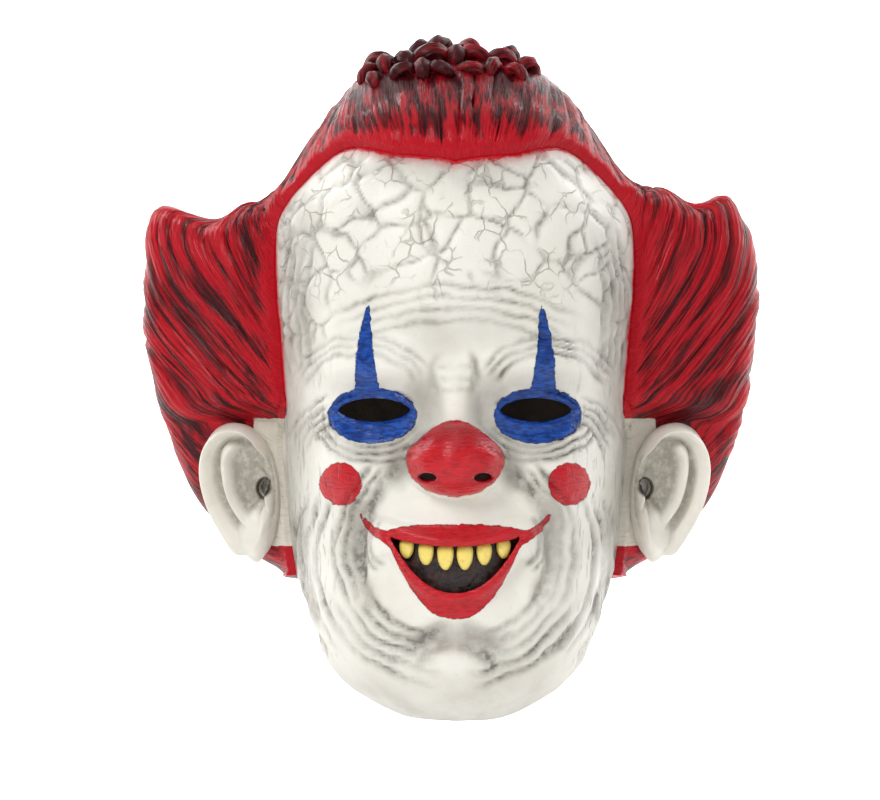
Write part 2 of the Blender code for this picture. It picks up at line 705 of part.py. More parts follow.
def build_ear(name, side, parts, cutter):
    """One ear: a flattened ball whose front half is the relief and whose back lies on the hair."""
    ear = bmesh.new()
    bmesh.ops.create_uvsphere(ear, u_segments=EAR_SPOKES, v_segments=EAR_RINGS, radius=1.0)
    ball = np.array([vertex.co for vertex in ear.verts])
    ring = np.arccos(np.clip(np.abs(ball[:, 2]), 0, 1)) / (math.pi / 2)
    turn = np.arctan2(ball[:, 1], ball[:, 0])
    x, z = ear_places(ring, turn)
    points, normals = ear_seat(x, z)
    front = ball[:, 2] > -1e-6
    proud = 2 * BOND_GAP + HAIR_WALL + np.where(front, ear_height(ring, turn), 0.0)
    points = points + normals * proud[:, None]
    points[:, 0] = np.maximum(points[:, 0], EAR_ROOT)
    for vertex, point in zip(ear.verts, points):
        vertex.co = (side * point[0], point[1], point[2])
    obj = make_object(name, ear, parts, IVORY, 0.45)
    add_cut(obj, cutter)
    return obj


def build_canals(cutters):
    """The cutter for both ear canals, square to each ear's bowl."""
    canals = bmesh.new()
    x, z = ear_places(np.zeros(1), np.zeros(1))
    points, normals = ear_seat(x, z)
    for side in (-1, 1):
        found = bmesh.ops.create_cone(canals, cap_ends=True, segments=14, radius1=CANAL_RADIUS,
                                      radius2=CANAL_RADIUS, depth=0.05)["verts"]
        turn = math.atan2(side * normals[0, 0], -normals[0, 1])
        bmesh.ops.rotate(canals, verts=found, matrix=Matrix.Rotation(math.pi / 2, 3, "X"))
        bmesh.ops.rotate(canals, verts=found, matrix=Matrix.Rotation(turn, 3, "Z"))
        bmesh.ops.translate(canals, verts=found, vec=(side * points[0, 0], *points[0, 1:]))
    return make_object("ear_canals", canals, cutters)


def build_hair(parts, cutter):
    """The hood of moulded hair."""
    hair = make_object("hair_shell", mapped_grid(HAIR_ROWS, HAIR_COLUMNS, hair_points), parts,
                       HAIR_RED, 0.3)
    add_mirror(hair)
    add_wall(hair, HAIR_WALL)
    add_cut(hair, cutter)
    return hair


def main():
    for obj in list(bpy.data.objects):
        bpy.data.objects.remove(obj)
    scene = bpy.context.scene
    parts = bpy.data.collections.new("clown_mask")
    cutters = bpy.data.collections.new("cutters")
    scene.collection.children.link(parts)
    scene.collection.children.link(cutters)
    build_face(parts, cutters)
    canals = build_canals(cutters)
    build_hair(parts, canals)
    build_ear("ear_left", -1, parts, canals)
    build_ear("ear_right", 1, parts, canals)
    build_lining(parts)
    build_teeth(parts)


main()
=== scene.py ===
"""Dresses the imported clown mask: painted face, moulded hair, ears, mouth and teeth, all in latex.

Lengths are in metres unless a name ends in _mm. +X is the viewer's right, the face looks along -Y
and +Z is up. The origin is the head seat, inside the crown.
"""

import logging
import math
from dataclasses import dataclass, field
from enum import Enum
from typing import Callable, Iterable, NamedTuple, Optional, Sequence

import bmesh
import bpy
import numpy as np
from mathutils import Matrix, Vector, noise
from mathutils.kdtree import KDTree


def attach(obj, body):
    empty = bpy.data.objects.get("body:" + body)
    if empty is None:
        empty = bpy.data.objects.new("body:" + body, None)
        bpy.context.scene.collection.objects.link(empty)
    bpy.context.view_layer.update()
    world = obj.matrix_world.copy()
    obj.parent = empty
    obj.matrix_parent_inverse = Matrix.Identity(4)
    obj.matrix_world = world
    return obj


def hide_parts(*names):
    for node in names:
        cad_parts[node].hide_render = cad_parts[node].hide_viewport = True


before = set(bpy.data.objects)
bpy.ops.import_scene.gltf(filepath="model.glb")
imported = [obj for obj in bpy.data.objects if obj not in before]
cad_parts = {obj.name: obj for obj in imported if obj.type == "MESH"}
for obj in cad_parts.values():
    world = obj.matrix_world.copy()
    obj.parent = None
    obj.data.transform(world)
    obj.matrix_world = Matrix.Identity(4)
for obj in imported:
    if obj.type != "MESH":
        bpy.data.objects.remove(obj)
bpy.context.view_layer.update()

log = logging.getLogger("clown_mask")

Array = np.ndarray
Colour = tuple[float, float, float, float]
MM = 0.001


class Slot(Enum):
    """The record's material slots."""

    FACE = "face_latex"
    HAIR = "hair_latex"
    MOUTH = "mouth_latex"
    TOOTH = "tooth_latex"


class Side(Enum):
    """The two sides of the mask, as the viewer sees them."""

    LEFT = -1
    RIGHT = 1


class Section(NamedTuple):
    """One level of the bare head: shares of the head's height, width, depths and flare."""

    height: float
    half_width: float
    front: float
    back: float
    flare: float


class Swelling(NamedTuple):
    """A soft form of the face, in shares of the face's half width."""

    name: str
    across: float
    above_eyes: float
    half_width: float
    half_height: float
    push: float


class Strand(NamedTuple):
    """A guide strand of the hair: degrees from the front, and shares of the height."""

    name: str
    start_azimuth: float
    start_height: float
    flare_azimuth: float
    flare_height: float
    end_height: float


class Fold(NamedTuple):
    """A family of nested creases on one side of the face, drawn along an ellipse.

    The centre, the two radii, the step from one crease to the next, the depth and the breadth are
    in millimetres from the middle of the eye line. The angles are in degrees from the outward
    direction, turning upwards.
    """

    name: str
    across: float
    above_eyes: float
    half_width: float
    half_height: float
    start: float
    end: float
    count: int
    step: float
    depth: float
    breadth: float


class Bulge(NamedTuple):
    """A push of the hair sideways and up, in millimetres from the middle of the eye line."""

    name: str
    across: float
    above_eyes: float
    half_width: float
    half_height: float
    push_across: float
    push_up: float


class Lock(NamedTuple):
    """A curled lock: where its root stands on the crest, and how it rises and curls over.

    The lean, in degrees, is how steeply it leaves the head, the sweep turns it sideways, and the
    curl is how far round it bends.
    """

    across_mm: float
    behind_mm: float
    lean: float
    sweep: float
    length_mm: float
    radius_mm: float
    curl: float


SECTIONS = [
    Section(0.000, 0.360, 0.720, 0.50, 0.00),
    Section(0.020, 0.500, 0.840, 0.56, 0.00),
    Section(0.050, 0.680, 0.935, 0.62, 0.00),
    Section(0.090, 0.800, 0.980, 0.68, 0.00),
    Section(0.131, 0.845, 1.000, 0.73, 0.00),
    Section(0.185, 0.905, 0.998, 0.79, 0.00),
    Section(0.226, 0.930, 0.990, 0.83, 0.05),
    Section(0.267, 0.950, 0.985, 0.87, 0.40),
    Section(0.300, 0.962, 0.983, 0.90, 0.58),
    Section(0.355, 0.976, 0.985, 0.94, 0.76),
    Section(0.416, 0.990, 0.990, 0.97, 0.88),
    Section(0.500, 1.020, 1.000, 1.00, 0.96),
    Section(0.576, 1.045, 1.005, 1.01, 0.96),
    Section(0.654, 1.070, 1.000, 1.01, 0.95),
    Section(0.705, 1.080, 0.990, 1.00, 0.91),
    Section(0.730, 1.085, 0.983, 0.99, 0.75),
    Section(0.745, 1.085, 0.976, 0.98, 0.38),
    Section(0.759, 1.080, 0.970, 0.97, 0.06),
    Section(0.786, 1.040, 0.952, 0.94, 0.00),
    Section(0.824, 0.935, 0.920, 0.89, 0.00),
    Section(0.881, 0.780, 0.830, 0.78, 0.00),
    Section(0.929, 0.650, 0.700, 0.64, 0.00),
    Section(0.966, 0.510, 0.540, 0.49, 0.00),
    Section(0.988, 0.380, 0.380, 0.34, 0.00),
    Section(1.000, 0.000, 0.000, 0.00, 0.00),
]

RIM_ANGLES = [0, 16, 30, 42, 52, 60, 66, 72, 180]
RIM_SHARES = [0, 0.015, 0.075, 0.20, 0.42, 0.70, 0.90, 1.0, 1.0]

SWELLINGS = [
    Swelling("brow", 0.42, 0.26, 0.44, 0.20, 0.075),
    Swelling("brow_dome", 0.00, 0.62, 0.85, 0.55, 0.040),
    Swelling("temple", 0.92, 0.40, 0.28, 0.50, -0.045),
    Swelling("cheek", 0.64, -0.36, 0.36, 0.32, 0.085),
    Swelling("muzzle", 0.00, -0.80, 0.62, 0.50, 0.075),
    Swelling("smile_fold", 0.57, -0.78, 0.13, 0.34, -0.040),
    Swelling("jowl", 0.60, -1.12, 0.30, 0.34, 0.050),
    Swelling("chin_dip", 0.00, -1.27, 0.42, 0.12, -0.040),
    Swelling("chin", 0.00, -1.50, 0.40, 0.30, 0.085),
]

STRANDS = [
    Strand("nape", 78, 0.218, 108, 0.216, 0.212),
    Strand("lobe", 78, 0.310, 104, 0.330, 0.330),
    Strand("ear", 78, 0.435, 101, 0.450, 0.450),
    Strand("sideburn", 66, 0.486, 98, 0.560, 0.580),
    Strand("horn", 66, 0.590, 97, 0.660, 0.700),
    Strand("temple", 66, 0.715, 97, 0.742, 0.800),
    Strand("notch", 62, 0.795, 92, 0.800, 0.880),
    Strand("recess", 42, 0.868, 88, 0.910, 0.950),
    Strand("parting", 17, 0.860, 60, 0.975, 0.980),
    Strand("peak", 0, 0.850, 0, 0.990, 0.996),
]

FOLDS = [
    Fold("forehead", 0, -62, 104, 102, 58, 98, 4, 5.0, 0.75, 0.9),
    Fold("brow_arc", 42, 6, 25, 19, 10, 165, 3, 3.8, 0.85, 1.1),
    Fold("upper_lid", 36, -1, 19, 9.5, 15, 165, 1, 3.0, 0.90, 0.9),
    Fold("under_eye", 36, -1, 21.5, 14.5, 200, 350, 3, 3.6, 0.80, 1.0),
    Fold("crow_foot", 50, -34, 19, 29, 25, 82, 4, 3.9, 0.75, 0.9),
    Fold("bridge", 0, -34, 44, 43, 72, 95, 3, 5.0, 0.80, 1.0),
    Fold("frown", -30, 16, 39, 30, -24, 24, 1, 3.0, 1.30, 1.6),
    Fold("nose_to_cheek", 10, -62, 33, 39, -46, 74, 1, 6.0, 2.60, 3.0),
    Fold("cheek_line", 10, -62, 38, 44, -40, 60, 2, 4.6, 1.00, 1.3),
    Fold("cheek", 12, -66, 50, 54, -52, 34, 3, 5.2, 0.85, 1.1),
    Fold("mouth_corner", 22, -58, 16, 13, -60, 50, 2, 3.4, 0.70, 1.0),
    Fold("chin_round", 0, -62, 43, 39, 272, 338, 5, 5.4, 1.00, 1.3),
    Fold("chin_line", 0, -146, 32, 42, 46, 95, 2, 6.0, 1.70, 2.8),
    Fold("jaw_side", 18, -62, 51, 92, -38, 16, 4, 3.8, 0.85, 1.1),
    Fold("temple", 28, 44, 39, 64, -30, 34, 4, 3.8, 0.75, 1.0),
]

BULGES = [
    Bulge("left_shelf", -94, 80, 13, 20, 0, 9),
    Bulge("right_shelf", 94, 80, 16, 22, 0, 16),
    Bulge("left_tip", -129, 82, 14, 15, -7, 3),
    Bulge("right_tip", 121, 84, 13, 15, 1, 7),
    Bulge("left_side", -135, 38, 18, 45, -7, 0),
    Bulge("right_side", 135, 42, 18, 40, 3, 0),
    Bulge("left_low", -112, -28, 16, 26, -4, 0),
    Bulge("right_low", 112, -28, 16, 26, 3, 0),
]

CREST_LOCKS = [
    Lock(-36, -27, 10, 35, 22, 3.2, 290),
    Lock(-32, -44, 6, -15, 21, 3.1, 270),
    Lock(-27, -32, 14, 25, 24, 3.4, 310),
    Lock(-22, -48, 8, 55, 22, 3.2, 280),
    Lock(-19, -36, 14, -40, 25, 3.7, 320),
    Lock(-14, -50, 10, 20, 24, 3.6, 290),
    Lock(-10, -36, 26, 60, 29, 4.2, 300),
    Lock(-7, -22, 30, 10, 30, 4.2, 290),
    Lock(-4, -52, 8, -25, 23, 3.5, 270),
    Lock(0, -38, 20, 20, 26, 3.9, 300),
    Lock(5, -50, 8, 60, 22, 3.3, 280),
    Lock(9, -34, 20, -50, 26, 3.8, 300),
    Lock(15, -48, 8, 25, 22, 3.3, 270),
    Lock(19, -34, 16, 55, 24, 3.6, 300),
    Lock(25, -46, 6, -30, 21, 3.1, 270),
    Lock(30, -30, 12, 30, 22, 3.3, 290),
    Lock(-30, -14, 16, -50, 24, 3.6, 290),
    Lock(-15, -12, 20, 40, 26, 3.9, 300),
    Lock(5, -12, 20, -35, 26, 3.9, 300),
    Lock(21, -14, 16, 45, 24, 3.6, 290),
]


def smooth_step(value: Array) -> Array:
    """Eases a share from 0 to 1, and holds it there outside."""
    value = np.clip(value, 0, 1)
    return value * value * (3 - 2 * value)


def unit(vectors: Array) -> Array:
    """Scales vectors to length one."""
    return vectors / np.linalg.norm(vectors, axis=-1, keepdims=True)


def read_smoothly(at: Array, places: Sequence[float], values: Sequence[float]) -> Array:
    """Reads a table with a monotone cubic, so that it never overshoots its own rows.

    Args:
        at: Where to read.
        places: The table's places, rising.
        values: The table's values at those places.

    Returns:
        The value at each place asked for.
    """
    at, places = np.asarray(at, float), np.asarray(places, float)
    values = np.asarray(values, float)
    steps = np.diff(places)
    slopes = np.diff(values) / steps
    product = slopes[:-1] * slopes[1:]
    inner = np.where(product > 0, 2 * product / (slopes[:-1] + slopes[1:] + 1e-12), 0.0)
    tangents = np.concatenate([[slopes[0]], inner, [slopes[-1]]])
    at = np.clip(at, places[0], places[-1])
    row = np.clip(np.searchsorted(places, at, side="right") - 1, 0, len(steps) - 1)
    share = (at - places[row]) / steps[row]
    rest = 1 - share
    return (
        values[row] * (1 + 2 * share) * rest**2
        + tangents[row] * steps[row] * share * rest**2
        + values[row + 1] * share**2 * (3 - 2 * share)
        - tangents[row + 1] * steps[row] * share**2 * rest
    )


def grain(points: Array, size: float, seed: float = 0.0) -> Array:
    """Smooth noise from -1 to 1.

    Args:
        points: Places, with three coordinates in the last axis.
        size: Length of one swell of the noise.
        seed: Shift that gives another pattern.

    Returns:
        One value for each place.
    """
    flat = points.reshape(-1, 3) / size + np.array([seed, 1.7 * seed, -0.6 * seed])
    values = np.fromiter((noise.noise(place) for place in flat.tolist()), float, len(flat))
    return values.reshape(points.shape[:-1])


def cell_edges(points: Array, size: float) -> Array:
    """Distance from the walls between Voronoi cells.

    Args:
        points: Places, with three coordinates in the last axis.
        size: Length of one cell.

    Returns:
        The distance in the points' own unit.
    """
    flat = points.reshape(-1, 3) / size
    result = np.empty(len(flat))
    for index, place in enumerate(flat.tolist()):
        _gaps, seeds = noise.voronoi(place)
        link = seeds[1] - seeds[0]
        middle = (seeds[1] + seeds[0]) / 2
        result[index] = (middle - Vector(place)).dot(link.normalized())
    return result.reshape(points.shape[:-1]) * size


def sheet_normals(points: Array) -> Array:
    """Unit normals of a sheet of points laid out in rows and columns."""
    along_rows = np.gradient(points, axis=0)
    along_columns = np.gradient(points, axis=1)
    return unit(np.cross(along_columns, along_rows))


def dome(x: Array, z: Array, centre: tuple[float, float], radii: tuple[float, float],
         power: float = 2.0) -> Array:
    """A round swelling: 1 at its centre and 0 from its edge outwards.

    Args:
        x: Places across.
        z: Places up.
        centre: The swelling's centre.
        radii: Its half width and half height.
        power: How pointed it is.

    Returns:
        The swelling at each place.
    """
    distance = ((x - centre[0]) / radii[0]) ** 2 + ((z - centre[1]) / radii[1]) ** 2
    return np.clip(1 - distance, 0, 1) ** power


@dataclass(frozen=True)
class HeadForm:
    """The shape that the face, the hair and the ears share."""

    mask_height: float = 0.2945
    chin_below_eyes: float = 0.1395
    face_half_width: float = 0.078
    face_depth: float = 0.097
    back_depth: float = 0.114
    hair_flare: float = 0.052
    horn_lift: float = 0.011
    face_wall: float = 0.0022
    hair_wall: float = 0.0024
    lap: float = 0.011
    bond_gap: float = 0.0005
    lap_sink: float = 0.0009
    hairline_angle: float = 66.0
    behind_ear_angle: float = 78.0
    sideburn_above_eyes: float = 0.001
    sideburn_height: float = 0.012
    flare_angle: float = 97.0
    flare_end_angle: float = 168.0
    rim_rise: float = 0.0645
    section_power: float = 2.4
    centre_above_eyes: float = 0.020

    @property
    def top(self) -> float:
        """Level of the skin's crown."""
        return -self.bond_gap

    @property
    def chin(self) -> float:
        """Level of the chin's rim."""
        return self.top - self.mask_height

    @property
    def eyes(self) -> float:
        """Level of the eye line."""
        return self.chin + self.chin_below_eyes

    def section(self, z: Array, name: str, size: float) -> Array:
        """Reads one column of the sections, as squares so that the crown is round.

        Args:
            z: Levels.
            name: The column's name.
            size: The length that the column is a share of.

        Returns:
            The length at each level.
        """
        heights = [row.height for row in SECTIONS]
        squares = [getattr(row, name) ** 2 for row in SECTIONS]
        share = (np.asarray(z, float) - self.chin) / self.mask_height
        return size * np.sqrt(np.maximum(read_smoothly(share, heights, squares), 1e-10))

    def side_angle(self, z: Array) -> Array:
        """Where the hair starts at the sides, in degrees from the front."""
        low = smooth_step((self.eyes + self.sideburn_above_eyes - z) / self.sideburn_height + 0.5)
        return self.hairline_angle + (self.behind_ear_angle - self.hairline_angle) * low

    def flare_share(self, azimuth: Array, z: Array) -> Array:
        """How much of the flare shows at angles from the front and levels."""
        start = self.side_angle(z) - 1
        turn = np.clip((azimuth - start) / (self.flare_angle - start), 0, 1)
        rise = np.sin(turn * math.pi / 2) ** 1.6
        spread = self.flare_end_angle - self.flare_angle
        return rise * (1 - smooth_step((azimuth - self.flare_angle) / spread))

    def skin_radius(self, azimuth: Array, z: Array, flared: bool = True) -> Array:
        """Distance of the skin from the head's upright axis.

        Args:
            azimuth: Degrees from the front.
            z: Levels.
            flared: Whether the hair's flares are counted.

        Returns:
            The radius at each place.
        """
        angle = np.radians(azimuth)
        across, ahead = np.abs(np.sin(angle)), np.cos(angle)
        half_width = self.section(z, "half_width", self.face_half_width)
        front = self.section(z, "front", self.face_depth)
        back = self.section(z, "back", self.back_depth)
        depth = np.where(ahead >= 0, front, back)
        power = self.section_power
        head = ((across / half_width) ** power + (np.abs(ahead) / depth) ** power) ** (-1 / power)
        if not flared:
            return head
        flare = self.section(z, "flare", self.hair_flare)
        return head + flare * self.flare_share(np.abs(azimuth), z)

    def skin(self, azimuth: Array, z: Array, flared: bool = True) -> Array:
        """Points of the skin at angles from the front and levels."""
        radius = self.skin_radius(azimuth, z, flared)
        angle = np.radians(azimuth)
        return np.stack([radius * np.sin(angle), -radius * np.cos(angle), z + 0 * radius], axis=-1)

    def azimuth_at(self, x: Array, z: Array, flared: bool = True) -> Array:
        """The angle from the front at which the skin reaches sideways to x, by halving."""
        low, high = np.zeros_like(x), np.full_like(x, self.flare_angle)
        for _ in range(40):
            middle = (low + high) / 2
            reach = self.skin_radius(middle, z, flared) * np.sin(np.radians(middle))
            short = reach < np.abs(x)
            low, high = np.where(short, middle, low), np.where(short, high, middle)
        return (low + high) / 2

    def rim_level(self, azimuth: Array) -> Array:
        """Level of the neck rim at angles from the front."""
        return self.chin + self.rim_rise * read_smoothly(azimuth, RIM_ANGLES, RIM_SHARES)

    def hairline_level(self, azimuth: Array) -> Array:
        """Level of the hair's front edge over the forehead."""
        rows = [row for row in reversed(STRANDS) if row.start_height > 0.70]
        angles = [row.start_azimuth for row in rows]
        heights = [row.start_height for row in rows]
        return self.chin + self.mask_height * read_smoothly(azimuth, angles, heights)

    def cast_to_skin(self, directions: Array) -> Array:
        """Where rays from the head's centre leave the skin, by halving."""
        centre = np.array([0.0, 0.0, self.eyes + self.centre_above_eyes])
        near = np.full(directions.shape[:-1], 0.02)
        far = np.full(directions.shape[:-1], 2 * (self.back_depth + self.hair_flare))
        for _ in range(26):
            middle = (near + far) / 2
            points = centre + directions * middle[..., None]
            azimuth = np.degrees(np.arctan2(np.abs(points[..., 0]), -points[..., 1]))
            radius = self.skin_radius(azimuth, points[..., 2])
            inside = np.hypot(points[..., 0], points[..., 1]) < radius
            inside &= points[..., 2] < self.top
            near = np.where(inside, middle, near)
            far = np.where(inside, far, middle)
        return centre + directions * near[..., None]


HEAD = HeadForm()


class NodeSketch:
    """Builds one procedural material, node by node."""

    def __init__(self, name: str) -> None:
        """Starts a material with its shader and output."""
        self.material = bpy.data.materials.new(name)
        self.material.use_nodes = True
        self.tree = self.material.node_tree
        self.shader = self.tree.nodes["Principled BSDF"]

    def add(self, kind: str, inputs: Optional[dict] = None, **settings: object) -> bpy.types.Node:
        """Adds a node.

        Args:
            kind: The node's type.
            inputs: Values or sockets for its inputs, by name or index.
            settings: Its own properties.

        Returns:
            The node.
        """
        node = self.tree.nodes.new(kind)
        for key, value in settings.items():
            setattr(node, key, value)
        for key, value in (inputs or {}).items():
            self.feed(node, key, value)
        return node

    def feed(self, node: bpy.types.Node, key: object, value: object) -> None:
        """Sets an input of a node to a value, or links it to a socket."""
        if isinstance(value, bpy.types.NodeSocket):
            self.tree.links.new(value, node.inputs[key])
        else:
            node.inputs[key].default_value = value

    def place(self) -> bpy.types.NodeSocket:
        """Object coordinates."""
        return self.add("ShaderNodeTexCoord").outputs["Object"]

    def attribute(self, name: str) -> bpy.types.NodeSocket:
        """A value stored on the mesh."""
        return self.add("ShaderNodeAttribute", attribute_name=name).outputs["Fac"]

    def noise(self, scale: float, detail: float = 3.0, roughness: float = 0.55,
              vector: Optional[bpy.types.NodeSocket] = None) -> bpy.types.NodeSocket:
        """Noise from 0 to 1.

        Args:
            scale: Swells to the metre.
            detail: Octaves.
            roughness: Weight of the finer octaves.
            vector: Coordinates, or Object coordinates where left out.

        Returns:
            The noise's factor.
        """
        inputs = {"Vector": vector or self.place(), "Scale": scale, "Detail": detail,
                  "Roughness": roughness}
        return self.add("ShaderNodeTexNoise", inputs).outputs["Fac"]

    def math(self, operation: str, first: object, second: object = 0.0,
             clamp: bool = False) -> bpy.types.NodeSocket:
        """One step of arithmetic on two values."""
        node = self.add("ShaderNodeMath", {0: first, 1: second}, operation=operation)
        node.use_clamp = clamp
        return node.outputs[0]

    def band(self, value: object, low: float, high: float, start: float = 0.0,
             end: float = 1.0) -> bpy.types.NodeSocket:
        """Eases a value between two ends.

        Args:
            value: The value to read.
            low: Where the ease starts.
            high: Where it ends.
            start: The result at low.
            end: The result at high.

        Returns:
            The eased value.
        """
        inputs = {"Value": value, "From Min": low, "From Max": high, "To Min": start,
                  "To Max": end}
        node = self.add("ShaderNodeMapRange", inputs, interpolation_type="SMOOTHSTEP")
        return node.outputs["Result"]

    def mix(self, factor: object, first: object, second: object,
            blend: str = "MIX") -> bpy.types.NodeSocket:
        """Mixes two colours.

        Args:
            factor: Share of the second colour.
            first: A colour or a socket.
            second: A colour or a socket.
            blend: How they mix.

        Returns:
            The mixed colour.
        """
        node = self.add("ShaderNodeMix", data_type="RGBA", blend_type=blend)
        self.feed(node, 0, factor)
        self.feed(node, 6, first)
        self.feed(node, 7, second)
        return node.outputs[2]

    def blend(self, factor: object, first: object, second: object) -> bpy.types.NodeSocket:
        """Mixes two values."""
        node = self.add("ShaderNodeMix", {0: factor, 2: first, 3: second}, data_type="FLOAT")
        return node.outputs[0]

    def bump(self, height: object, distance: float, strength: float = 1.0,
             under: Optional[bpy.types.NodeSocket] = None) -> bpy.types.NodeSocket:
        """Fine relief.

        Args:
            height: The height, from 0 to 1.
            distance: What a height of 1 stands for, in metres.
            strength: Share of the relief that shows.
            under: Relief that this one lies on.

        Returns:
            The bent normal.
        """
        inputs = {"Height": height, "Distance": distance, "Strength": strength}
        if under is not None:
            inputs["Normal"] = under
        return self.add("ShaderNodeBump", inputs).outputs["Normal"]

    def dress(self, **inputs: object) -> bpy.types.Material:
        """Feeds the shader's inputs, whose names are written with underscores."""
        for key, value in inputs.items():
            self.feed(self.shader, key.replace("_", " "), value)
        return self.material


@dataclass(frozen=True)
class InnerShadeLatex:
    """Latex on the inside, coloured dark brown as painted shade: matt, with pour marks."""

    pale: Colour = (0.085, 0.062, 0.045, 1.0)
    amber: Colour = (0.040, 0.028, 0.020, 1.0)

    def build(self) -> bpy.types.Material:
        """Makes the material."""
        sketch = NodeSketch("inner_latex_painted_shade")
        pour = sketch.noise(28.0, 4.0)
        skin = sketch.noise(420.0, 3.0)
        colour = sketch.mix(sketch.band(pour, 0.35, 0.7), self.pale, self.amber)
        relief = sketch.bump(skin, 0.0004, 0.5, sketch.bump(pour, 0.0012, 0.6))
        return sketch.dress(Base_Color=colour, Roughness=sketch.band(pour, 0.2, 0.8, 0.5, 0.68),
                            Normal=relief)


@dataclass(frozen=True)
class FacePaint:
    """Ivory latex with a grey crease wash, soft painted shade, and brushed blue and red paint."""

    ivory: Colour = (0.82, 0.80, 0.73, 1.0)
    cream: Colour = (0.74, 0.70, 0.60, 1.0)
    grey: Colour = (0.27, 0.25, 0.215, 1.0)
    darkest_wash_and_shade: Colour = (0.10, 0.09, 0.08, 1.0)
    blue: Colour = (0.010, 0.080, 0.40, 1.0)
    deep_blue: Colour = (0.004, 0.026, 0.16, 1.0)
    red: Colour = (0.54, 0.004, 0.012, 1.0)
    deep_red: Colour = (0.24, 0.003, 0.008, 1.0)
    overspray: Colour = (0.46, 0.05, 0.07, 1.0)

    def build(self) -> bpy.types.Material:
        """Makes the material."""
        sketch = NodeSketch("painted_face")
        mottle = sketch.noise(36.0, 5.0, 0.6)
        speck = sketch.noise(900.0, 2.0, 0.5)
        ragged = sketch.noise(260.0, 4.0, 0.6)
        # The crease wash is the casting's own grey wash, with painted shade added round the eye slits
        # and nostrils.
        wash = sketch.attribute("crease_wash_and_hole_shade")
        # Painted shade beside the nose, round the eyes, at the sides, along the hairline and under the
        # jaw, made patchy by the mottle.
        broad = sketch.attribute("broad_painted_shade")
        ragged_darkening = sketch.math("MULTIPLY", wash, sketch.band(ragged, 0.25, 0.62, 0.45, 1.0))
        skin = sketch.mix(sketch.band(mottle, 0.45, 0.75, 0.0, 0.55), self.ivory, self.cream)
        patchy_painted_shade = sketch.math("MULTIPLY", broad, sketch.band(mottle, 0.25, 0.65, 0.45, 1.0))
        skin = sketch.mix(sketch.math("MULTIPLY", patchy_painted_shade, 0.72), skin, self.grey)
        skin = sketch.mix(sketch.math("MULTIPLY", ragged_darkening, 0.86, True), skin, self.grey)
        # Near black where the crease wash is deepest, and as painted shade at the rims of the eye slits
        # and nostrils.
        skin = sketch.mix(sketch.band(ragged_darkening, 0.72, 1.0, 0.0, 0.45), skin, self.darkest_wash_and_shade)
        hairlines = sketch.math("MAXIMUM", self.crackle(sketch), self.wrinkles(sketch))
        skin = sketch.mix(sketch.math("MULTIPLY", hairlines, 0.42), skin, self.grey)
        skin = sketch.mix(sketch.band(speck, 0.66, 0.74, 0.0, 0.16), skin, self.grey)
        edge = sketch.math("MULTIPLY", sketch.math("SUBTRACT", ragged, 0.5), 2.4)
        spray = sketch.math("ADD", sketch.attribute("hair_reach"),
                            sketch.math("MULTIPLY", edge, 1.6))
        skin = sketch.mix(sketch.band(spray, -7.0, -0.6, 0.0, 0.62), skin, self.overspray)
        solid = sketch.band(spray, -2.2, -0.9)
        blue_mask = sketch.band(sketch.math("ADD", sketch.attribute("blue_reach"), edge),
                                -0.15, 0.2)
        red_mask = sketch.band(sketch.math("ADD", sketch.attribute("red_reach"), edge), -0.15, 0.2)
        brush = self.brush_marks(sketch)
        blue = sketch.mix(sketch.band(brush, 0.35, 0.66), self.deep_blue, self.blue)
        # The blue and red darken with the crease wash, and with the painted shade at the hole rims.
        blue = sketch.mix(sketch.math("MULTIPLY", wash, 0.5), blue, self.deep_blue)
        red = sketch.mix(sketch.band(brush, 0.28, 0.55, 0.35, 1.0), self.deep_red, self.red)
        red = sketch.mix(sketch.math("MULTIPLY", wash, 0.5), red, self.deep_red)
        shade = sketch.attribute("nose_shade")
        red = sketch.mix(sketch.math("MULTIPLY", shade, 0.6), red, self.deep_red)
        colour = sketch.mix(blue_mask, skin, blue)
        colour = sketch.mix(red_mask, colour, red)
        colour = sketch.mix(solid, colour, self.red)
        painted = sketch.math("MAXIMUM", sketch.math("MAXIMUM", blue_mask, red_mask), solid)
        gloss = sketch.blend(blue_mask, 0.30, 0.20)
        matt = sketch.band(mottle, 0.3, 0.7, 0.34, 0.50)
        roughness = sketch.blend(painted, matt, gloss)
        fine = sketch.noise(1500.0, 3.0, 0.6)
        relief = sketch.bump(fine, 0.00012, 0.5)
        relief = sketch.bump(sketch.math("SUBTRACT", 1.0, hairlines), 0.0007, 0.8, relief)
        relief = sketch.bump(ragged, 0.00035, 0.5, relief)
        relief = sketch.bump(painted, 0.00035, 0.8, relief)
        stroke = sketch.math("MULTIPLY", brush, painted)
        relief = sketch.bump(stroke, 0.0007, 0.8, relief)
        return sketch.dress(Base_Color=colour, Roughness=roughness, Normal=relief,
                            Specular_IOR_Level=0.38, Subsurface_Weight=0.06,
                            Subsurface_Scale=0.002)

    def crackle(self, sketch: NodeSketch) -> bpy.types.NodeSocket:
        """Thin broken cracks between and across the plates.

        Args:
            sketch: The material being made.

        Returns:
            The cracks, from 0 to 1.
        """
        bend = sketch.add("ShaderNodeTexNoise", {"Vector": sketch.place(), "Scale": 90.0})
        inputs = {0: bend.outputs["Color"], 1: (0.012, 0.012, 0.012), 2: sketch.place()}
        bent = sketch.add("ShaderNodeVectorMath", inputs, operation="MULTIPLY_ADD")
        cells = sketch.add("ShaderNodeTexVoronoi", {"Vector": bent.outputs[0], "Scale": 95.0},
                           feature="DISTANCE_TO_EDGE")
        line = sketch.band(cells.outputs["Distance"], 0.012, 0.05, 1.0, 0.0)
        broken = sketch.band(sketch.noise(70.0, 2.0), 0.46, 0.62)
        shown = sketch.math("MULTIPLY", broken, sketch.attribute("plate_zone"))
        return sketch.math("MULTIPLY", line, shown)

